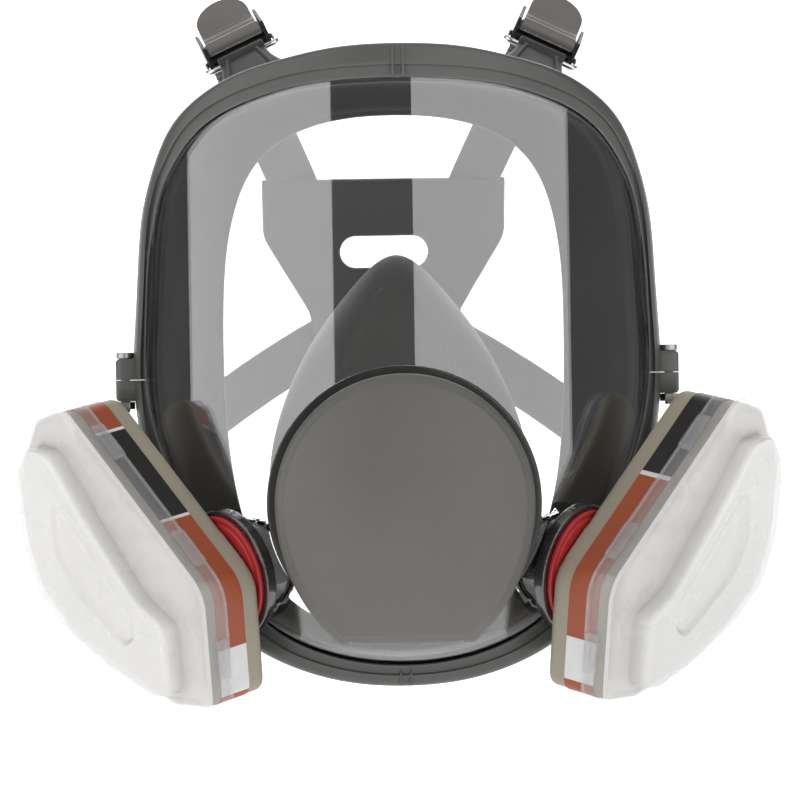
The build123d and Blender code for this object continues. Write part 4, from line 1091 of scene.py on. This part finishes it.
def build_retainer():
    nest = [(11.0, -4.5), (24.5, 11.6), (40.5, 30.5), (45.5, 27.0), (48.0, 14.0), (41.5, 1.5), (19.0, -16.0), (13.0, -14.0)]
    nest_r = [5, 30, 4, 6, 10, 16, 5, 4]
    sk = outline(SKIRT, SKIRT_R, 0.0)

    def S(d, t):
        return ring_at(outline(SKIRT, SKIRT_R, d), t)

    def P(d, t):
        return ring_at(outline(PLATEAU, PLATEAU_R, d), t)

    def N(d, t):
        return ring_at(outline(nest, nest_r, d), t)

    def mix(a, b, k):
        return [x.lerp(y, k) for x, y in zip(a, b)]

    def scaled(pol, k, t):
        return [PORT.at(-(CEN[0] + float(pol(a)) * k * math.cos(a)), CEN[1] + float(pol(a)) * k * math.sin(a), t) for a in CA]
    rings = [S(0.4, 15.0), S(0.1, 15.1), S(0, 15.4), S(0, 18.0), S(0, 21.0), S(0, 22.7), S(0.07, 23.25), S(0.28, 23.66),
             S(0.6, 23.92), S(1.0, 24.0), S(1.35, 23.97), S(1.7, 23.8)]
    foot = P(-0.35, 23.8)
    rings += [mix(rings[-1], foot, k) for k in (0.33, 0.67)]
    rings += [foot, P(-0.1, 23.93), P(0, 24.3), P(0, 26.0), P(0.02, 27.9), P(0.14, 28.75), P(0.4, 29.22), P(0.8, 29.45),
              P(1.25, 29.5), P(1.8, 29.44), P(2.4, 29.24)]
    edge = N(-1.8, 29.2)
    rings += [mix(rings[-1], edge, k) for k in (0.33, 0.67)]
    rings += [edge, N(-1.2, 29.3), N(-0.7, 29.28), N(-0.2, 29.08), N(0.4, 28.62), N(1.0, 28.3), N(1.6, 28.2), N(2.2, 28.28),
              N(2.8, 28.42), N(3.3, 28.4), N(3.9, 28.26)]
    mid = outline(nest, nest_r, 3.9)
    rings += [scaled(mid, k, 28.26 + 0.2 * (1 - k)) for k in (0.8, 0.6, 0.4, 0.2, 0.05)]
    low = outline(nest, nest_r, 3.0)
    inner = [scaled(low, k, 26.95) for k in (0.05, 0.5, 1.0)]
    inner += [N(1.6, 27.0), N(0.4, 27.35), N(-0.8, 27.95), P(2.6, 28.05), P(1.6, 27.85), P(1.3, 27.2), P(1.3, 23.2), P(1.1, 22.85)]
    out = S(1.9, 22.7)
    inner += [mix(P(1.0, 22.7), out, 0.5), out, S(1.4, 22.4), S(1.3, 21.9), S(1.3, 15.3), S(0.9, 15.0)]
    v, f = loft(rings + inner, True, False, (False, False))
    # close the two middle holes with fans, then the rim at the skirt's rear
    n = NC
    c0, c1 = len(v), len(v) + 1
    v = list(v) + [PORT.at(-CEN[0], CEN[1], 28.46), PORT.at(-CEN[0], CEN[1], 26.95)]
    j0, j1 = (len(rings) - 1) * n, len(rings) * n
    f = [q for q in f if not (q[0] >= j0 and q[0] < j0 + n)]
    for i in range(n):
        f.append((j0 + i, j0 + (i + 1) % n, c0))
        f.append((j1 + i, j1 + (i + 1) % n, c1))
    last = (len(rings) + len(inner) - 1) * n
    for i in range(n):
        k = (i + 1) % n
        f.append((last + i, last + k, k, i))
    parts = [(v, f)]

    def edge_frame(s, t):
        """On the skirt's long edge: s along it from its lower end, t in depth."""
        a, b = np.array(SKIRT[0], float), np.array(SKIRT[1], float)
        d = (b - a) / np.linalg.norm(b - a)
        p = a + d * s
        o = PORT.at(-p[0], p[1], t)
        ax = PORT.x * -d[0] + PORT.y * d[1]
        return Frame3(o, ax, PORT.z)

    for s, length in ((17.5, 15.0), (64.5, 15.0)):
        parts.append(bar(edge_frame(s, 17.9), length, 3.4, 1.3, 0.55))
        parts.append(bar(edge_frame(s, 15.5), length * 0.9, 1.0, 1.9, 0.35))
    # the third tab sits below the corner
    a, b = np.array(SKIRT[0], float), np.array(SKIRT[8], float)
    d = (b - a) / np.linalg.norm(b - a)
    p = a + d * 23.0
    low = Frame3(PORT.at(-p[0], p[1], 17.9), PORT.x * -d[0] + PORT.y * d[1], PORT.z)
    parts.append(bar(low, 13.0, 4.6, 1.6, 0.55))
    # narrow lip round the skirt's rear rim
    rim = [ring_at(sk, 15.0, -0.3), ring_at(sk, 15.05, 0.2), ring_at(sk, 15.4, 0.35), ring_at(sk, 15.9, 0.2), ring_at(sk, 16.0, -0.3)]
    parts.append(loft(rim, True, True))
    return merge(parts)


v, f = build_retainer()
for side, vs in (("left", v), ("right", mirrored(v))):
    o = link(f"retainer_cap_{side}", mesh_of(f"retainer_cap_{side}", vs, f), MAT["frost"],
             node_body[f"retainer_{side}"], (f"retainer_{side}",))
    smooth_by_angle(o, 45)
    o.data.materials.append(MAT["cap"])
    sgn = -1.0 if side == "right" else 1.0
    for q in o.data.polygons:
        c = q.center / MM
        d = Vector((c.x * sgn, c.y, c.z)) - PORT.o
        if d.dot(PORT.z) > 23.1:
            q.material_index = 1

# ---------------------------------------------------------------------------
# buckles
# ---------------------------------------------------------------------------
for lv, fr in (("upper", UPPER), ("lower", LOWER)):
    for side in ("left", "right"):
        soften(f"buckle_body_{lv}_{side}", f"buckle_plate_{lv}_{side}", MAT["buckle"], 0.26, 3, 0.5)
        soften(f"buckle_lever_{lv}_{side}", f"buckle_thumb_lever_{lv}_{side}", MAT["lever"], 0.26, 5, 0.5)
        # wire loop
        pts = rounded([(-12.6, 0.0), (12.6, 0.0), (12.6, 11.5), (-12.6, 11.5)], 2.6, 6)
        path = [fr.at(a, b, 0) for a, b in pts]
        n = len(path)
        rings = []
        for i in range(n):
            t = (path[(i + 1) % n] - path[i - 1]).normalized()
            nn = fr.z
            bb = t.cross(nn).normalized()
            rings.append([path[i] + (nn * math.cos(q) + bb * math.sin(q)) * 0.95 for q in np.linspace(0, 2 * math.pi, 20, endpoint=False)])
        v, f = loft(rings, True, True)
        if side == "right":
            v = mirrored(v)
        link(f"buckle_loop_{lv}_{side}", mesh_of("loop", [tuple(x) for x in v], f), MAT["wire"], "root",
             (f"buckle_wire_{lv}_{side}",))


# ---------------------------------------------------------------------------
# straps and crown pad
# ---------------------------------------------------------------------------
STRAP_W, STRAP_T = 19.0, 2.2
PAD_Y, PAD_Z, PAD_R = 42.0, 30.0, 93.25
_zE = 76.5
_yE = PAD_Y + math.sqrt(PAD_R**2 - (_zE - PAD_Z) ** 2)
UP_S = UPPER.at(0, 14.6, 0)
_xE = UP_S.x - (UPPER.x.y * (_yE - UP_S.y) + UPPER.x.z * (_zE - UP_S.z)) / UPPER.x.x


def strap(fr, start, end, name, node, drop=0.0):
    d, nrm = fr.y, fr.z
    start = start + nrm * (0.65 + STRAP_T / 2 - 0.6)
    e = end - start
    ex, ey = e.dot(d), e.dot(nrm)
    rc = abs((ex * ex + ey * ey) / (2 * ey))
    turn = 2 * math.atan2(abs(ey), ex)
    n = int(rc * turn / 0.75)
    path, th, wid = [], [], []
    for i in range(n + 1):
        q = turn * i / n
        s = rc * q
        # ladder of gripping ribs on the outer face over the front third
        path.append(start + d * (rc * math.sin(q)) + nrm * (rc * math.cos(q) - rc))
        rib = 0.0
        if 34 < s < rc * turn * 0.62:
            ph = (s % 4.5) / 4.5
            rib = 0.34 if ph < 0.45 else 0.0
        th.append(STRAP_T - 0.36 + rib)
        w = STRAP_W
        if rib > 0:
            w = STRAP_W
        wid.append(w - (0.7 if rib == 0 else 0.0))
    across = [fr.x] * len(path)
    if drop > 0:
        # the last stretch lies on the pad's outer face, where it is moulded on
        t = d * math.cos(turn) - nrm * math.sin(turn)
        unit = abs(t.z) if fr is UPPER else abs(t.x)
        last = path[-1]
        for j in range(1, 25):
            dz = drop * j / 24
            k = min(1.0, dz / 6.0)
            k = k * k * (3 - 2 * k)
            x, z = last.x + t.x / unit * dz, last.z + t.z / unit * dz
            r = PAD_R + 1.4 + 1.0
            y = PAD_Y + math.sqrt(r * r - (z - PAD_Z) ** 2)
            path.append(Vector((x, (last.y + t.y / unit * dz) * (1 - k) + y * k, z)))
            nn = Vector((0, y - PAD_Y, z - PAD_Z)).normalized()
            across.append((fr.x - nn * (fr.x.dot(nn) * k)).normalized())
            th.append(STRAP_T - 0.36)
            wid.append(STRAP_W - 0.7)
    v, f = band(path, across, wid, th, 0.42)
    for side, vs in (("left", [tuple(x) for x in v]), ("right", mirrored(v))):
        o = link(f"{name}_{side}", mesh_of(f"{name}_{side}", vs, f), MAT["strap"], "root", (f"{node}_{side}",))
        smooth_by_angle(o, 40)


strap(UPPER, UP_S, Vector((_xE, _yE, _zE)), "harness_strap_upper", "strap_upper", 20.0)
strap(LOWER, LOWER.at(0, 14.6, 0), Vector((-31.5, 132.6, 8.0)), "harness_strap_lower", "strap_lower", 14.0)

soften("crown_pad", "harness_crown_pad", MAT["strap"], 0.7, 6, 0.5)
# raised ribs across the pad
parts = []


def pad_point(x, z, lift):
    r = PAD_R + 1.4 + lift
    return Vector((x, PAD_Y + math.sqrt(r * r - (z - PAD_Z) ** 2), z))


def pad_rib(pts, w=1.6):
    path = []
    for (x0, z0), (x1, z1) in zip(pts[:-1], pts[1:]):
        k = max(2, int(math.hypot(x1 - x0, z1 - z0) / 1.5))
        for j in range(k):
            path.append(pad_point(x0 + (x1 - x0) * j / k, z0 + (z1 - z0) * j / k, 0.0))
    path.append(pad_point(pts[-1][0], pts[-1][1], 0.0))
    across = []
    for i in range(len(path)):
        t = (path[min(i + 1, len(path) - 1)] - path[max(i - 1, 0)]).normalized()
        nrm = Vector((0, path[i].y - PAD_Y, path[i].z - PAD_Z)).normalized()
        across.append(t.cross(nrm))
    return band(path, across, [w] * len(path), [1.1] * len(path), 0.45)


for sx in (-1, 1):
    parts.append(pad_rib([(sx * 42, 70), (sx * 42, 54), (sx * 25, 24), (sx * 24.5, -10)]))
parts.append(pad_rib([(-36, 58), (36, 58)]))
parts.append(pad_rib([(-28, 33), (28, 33)]))
parts.append(pad_rib([(-20, -2), (20, -2)]))
parts.append(pad_rib([(-36, 68), (36, 68)]))
v, f = merge(parts)
link("crown_pad_ribs", mesh_of("crown_pad_ribs", v, f), MAT["strap"], "root")

# ---------------------------------------------------------------------------
# studio: pale sweep, two tall soft boxes, soft top and back fill
# ---------------------------------------------------------------------------
def stage_material():
    m = bpy.data.materials.new("pale_sweep")
    m.use_nodes = True
    nt = m.node_tree
    b = nt.nodes["Principled BSDF"]
    tc = nt.nodes.new("ShaderNodeTexCoord")
    n = nt.nodes.new("ShaderNodeTexNoise")
    n.inputs["Scale"].default_value = 3.0
    ramp = nt.nodes.new("ShaderNodeValToRGB")
    ramp.color_ramp.elements[0].color = (0.90, 0.90, 0.90, 1)
    ramp.color_ramp.elements[1].color = (0.93, 0.93, 0.93, 1)
    nt.links.new(tc.outputs["Object"], n.inputs["Vector"])
    nt.links.new(n.outputs["Fac"], ramp.inputs["Fac"])
    nt.links.new(ramp.outputs["Color"], b.inputs["Base Color"])
    b.inputs["Roughness"].default_value = 0.9
    b.inputs["Emission Color"].default_value = (1, 1, 1, 1)
    # the backdrop glows, the floor under the object much less
    sep = nt.nodes.new("ShaderNodeSeparateXYZ")
    nt.links.new(tc.outputs["Object"], sep.inputs["Vector"])
    glow = nt.nodes.new("ShaderNodeMapRange")
    glow.inputs["From Min"].default_value = 0.10
    glow.inputs["From Max"].default_value = 0.36
    glow.inputs["To Min"].default_value = 0.40
    glow.inputs["To Max"].default_value = 1.0
    nt.links.new(sep.outputs["Y"], glow.inputs["Value"])
    nt.links.new(glow.outputs["Result"], b.inputs["Emission Strength"])
    return m


floor_z = -0.20
prof = [(-4.0, floor_z), (0.36, floor_z), (3.6, floor_z)]
for k in range(1, 13):
    q = math.radians(90 * k / 12)
    prof.append((3.6 + 0.6 * math.sin(q), floor_z + 0.6 - 0.6 * math.cos(q)))
prof.append((4.2, 4.0))
rings = [[(x, y, z) for y, z in prof] for x in np.linspace(-4, 4, 5)]
sv, sf = loft(rings, False, False)
sweep = link("sweep", mesh_of("sweep", sv, sf, 1.0), stage_material(), None)


def area(name, loc, target, sx, sy, power, colour=(1, 1, 1)):
    L = bpy.data.lights.new(name, "AREA")
    L.shape = "RECTANGLE"
    L.size, L.size_y = sx, sy
    L.energy = power
    L.color = colour
    o = bpy.data.objects.new(name, L)
    bpy.context.scene.collection.objects.link(o)
    o.location = loc
    d = Vector(target) - Vector(loc)
    o.rotation_euler = d.to_track_quat("-Z", "Y").to_euler()
    return o


def strip(name, a0, a1, dist, z0, z1, radiance):
    """Soft box seen from the lens between two azimuths either side of -Y."""
    p0 = Vector((dist * math.sin(math.radians(a0)), -dist * math.cos(math.radians(a0)), 0))
    p1 = Vector((dist * math.sin(math.radians(a1)), -dist * math.cos(math.radians(a1)), 0))
    mid = (p0 + p1) / 2
    w = (p1 - p0).length
    zc = (z0 + z1) / 2
    area_m2 = w * (z1 - z0)
    return area(name, (mid.x, mid.y, zc), (0, 0, zc), w, z1 - z0, radiance * area_m2 * math.pi)


strip("softbox_left", -25, -91, 1.7, -0.10, 1.9, 1.42)
strip("softbox_right", 6.6, 73, 1.7, -0.10, 1.9, 1.28)
area("top_fill", (0, 0.1, 1.8), (0, 0, 0), 1.8, 1.8, 6)
area("back_fill", (0, 1.2, 1.2), (0, 0, 0.05), 1.8, 1.0, 5)

world = bpy.data.worlds.new("world")
bpy.context.scene.world = world
world.use_nodes = True
world.node_tree.nodes["Background"].inputs["Color"].default_value = (1, 1, 1, 1)
world.node_tree.nodes["Background"].inputs["Strength"].default_value = 0.16

cam = bpy.data.cameras.new("camera")
cam.lens = 150.7
cam.sensor_width = 36.0
cam.clip_start = 0.05
camo = bpy.data.objects.new("camera", cam)
bpy.context.scene.collection.objects.link(camo)
pivot = Vector((0, -0.070, -0.0109))
az = math.radians(-1.5)
dist = 1.150 - 0.070
loc = pivot + Vector((math.sin(az) * dist, -math.cos(az) * dist, 0.0))
camo.location = loc
q = (pivot - loc).to_track_quat("-Z", "Y")
camo.rotation_mode = "QUATERNION"
from mathutils import Quaternion
camo.rotation_quaternion = q @ Quaternion((0, 0, 1), math.radians(-0.9))
bpy.context.scene.camera = camo
bpy.context.scene.view_settings.view_transform = "Standard"
bpy.context.scene.view_settings.look = "None"
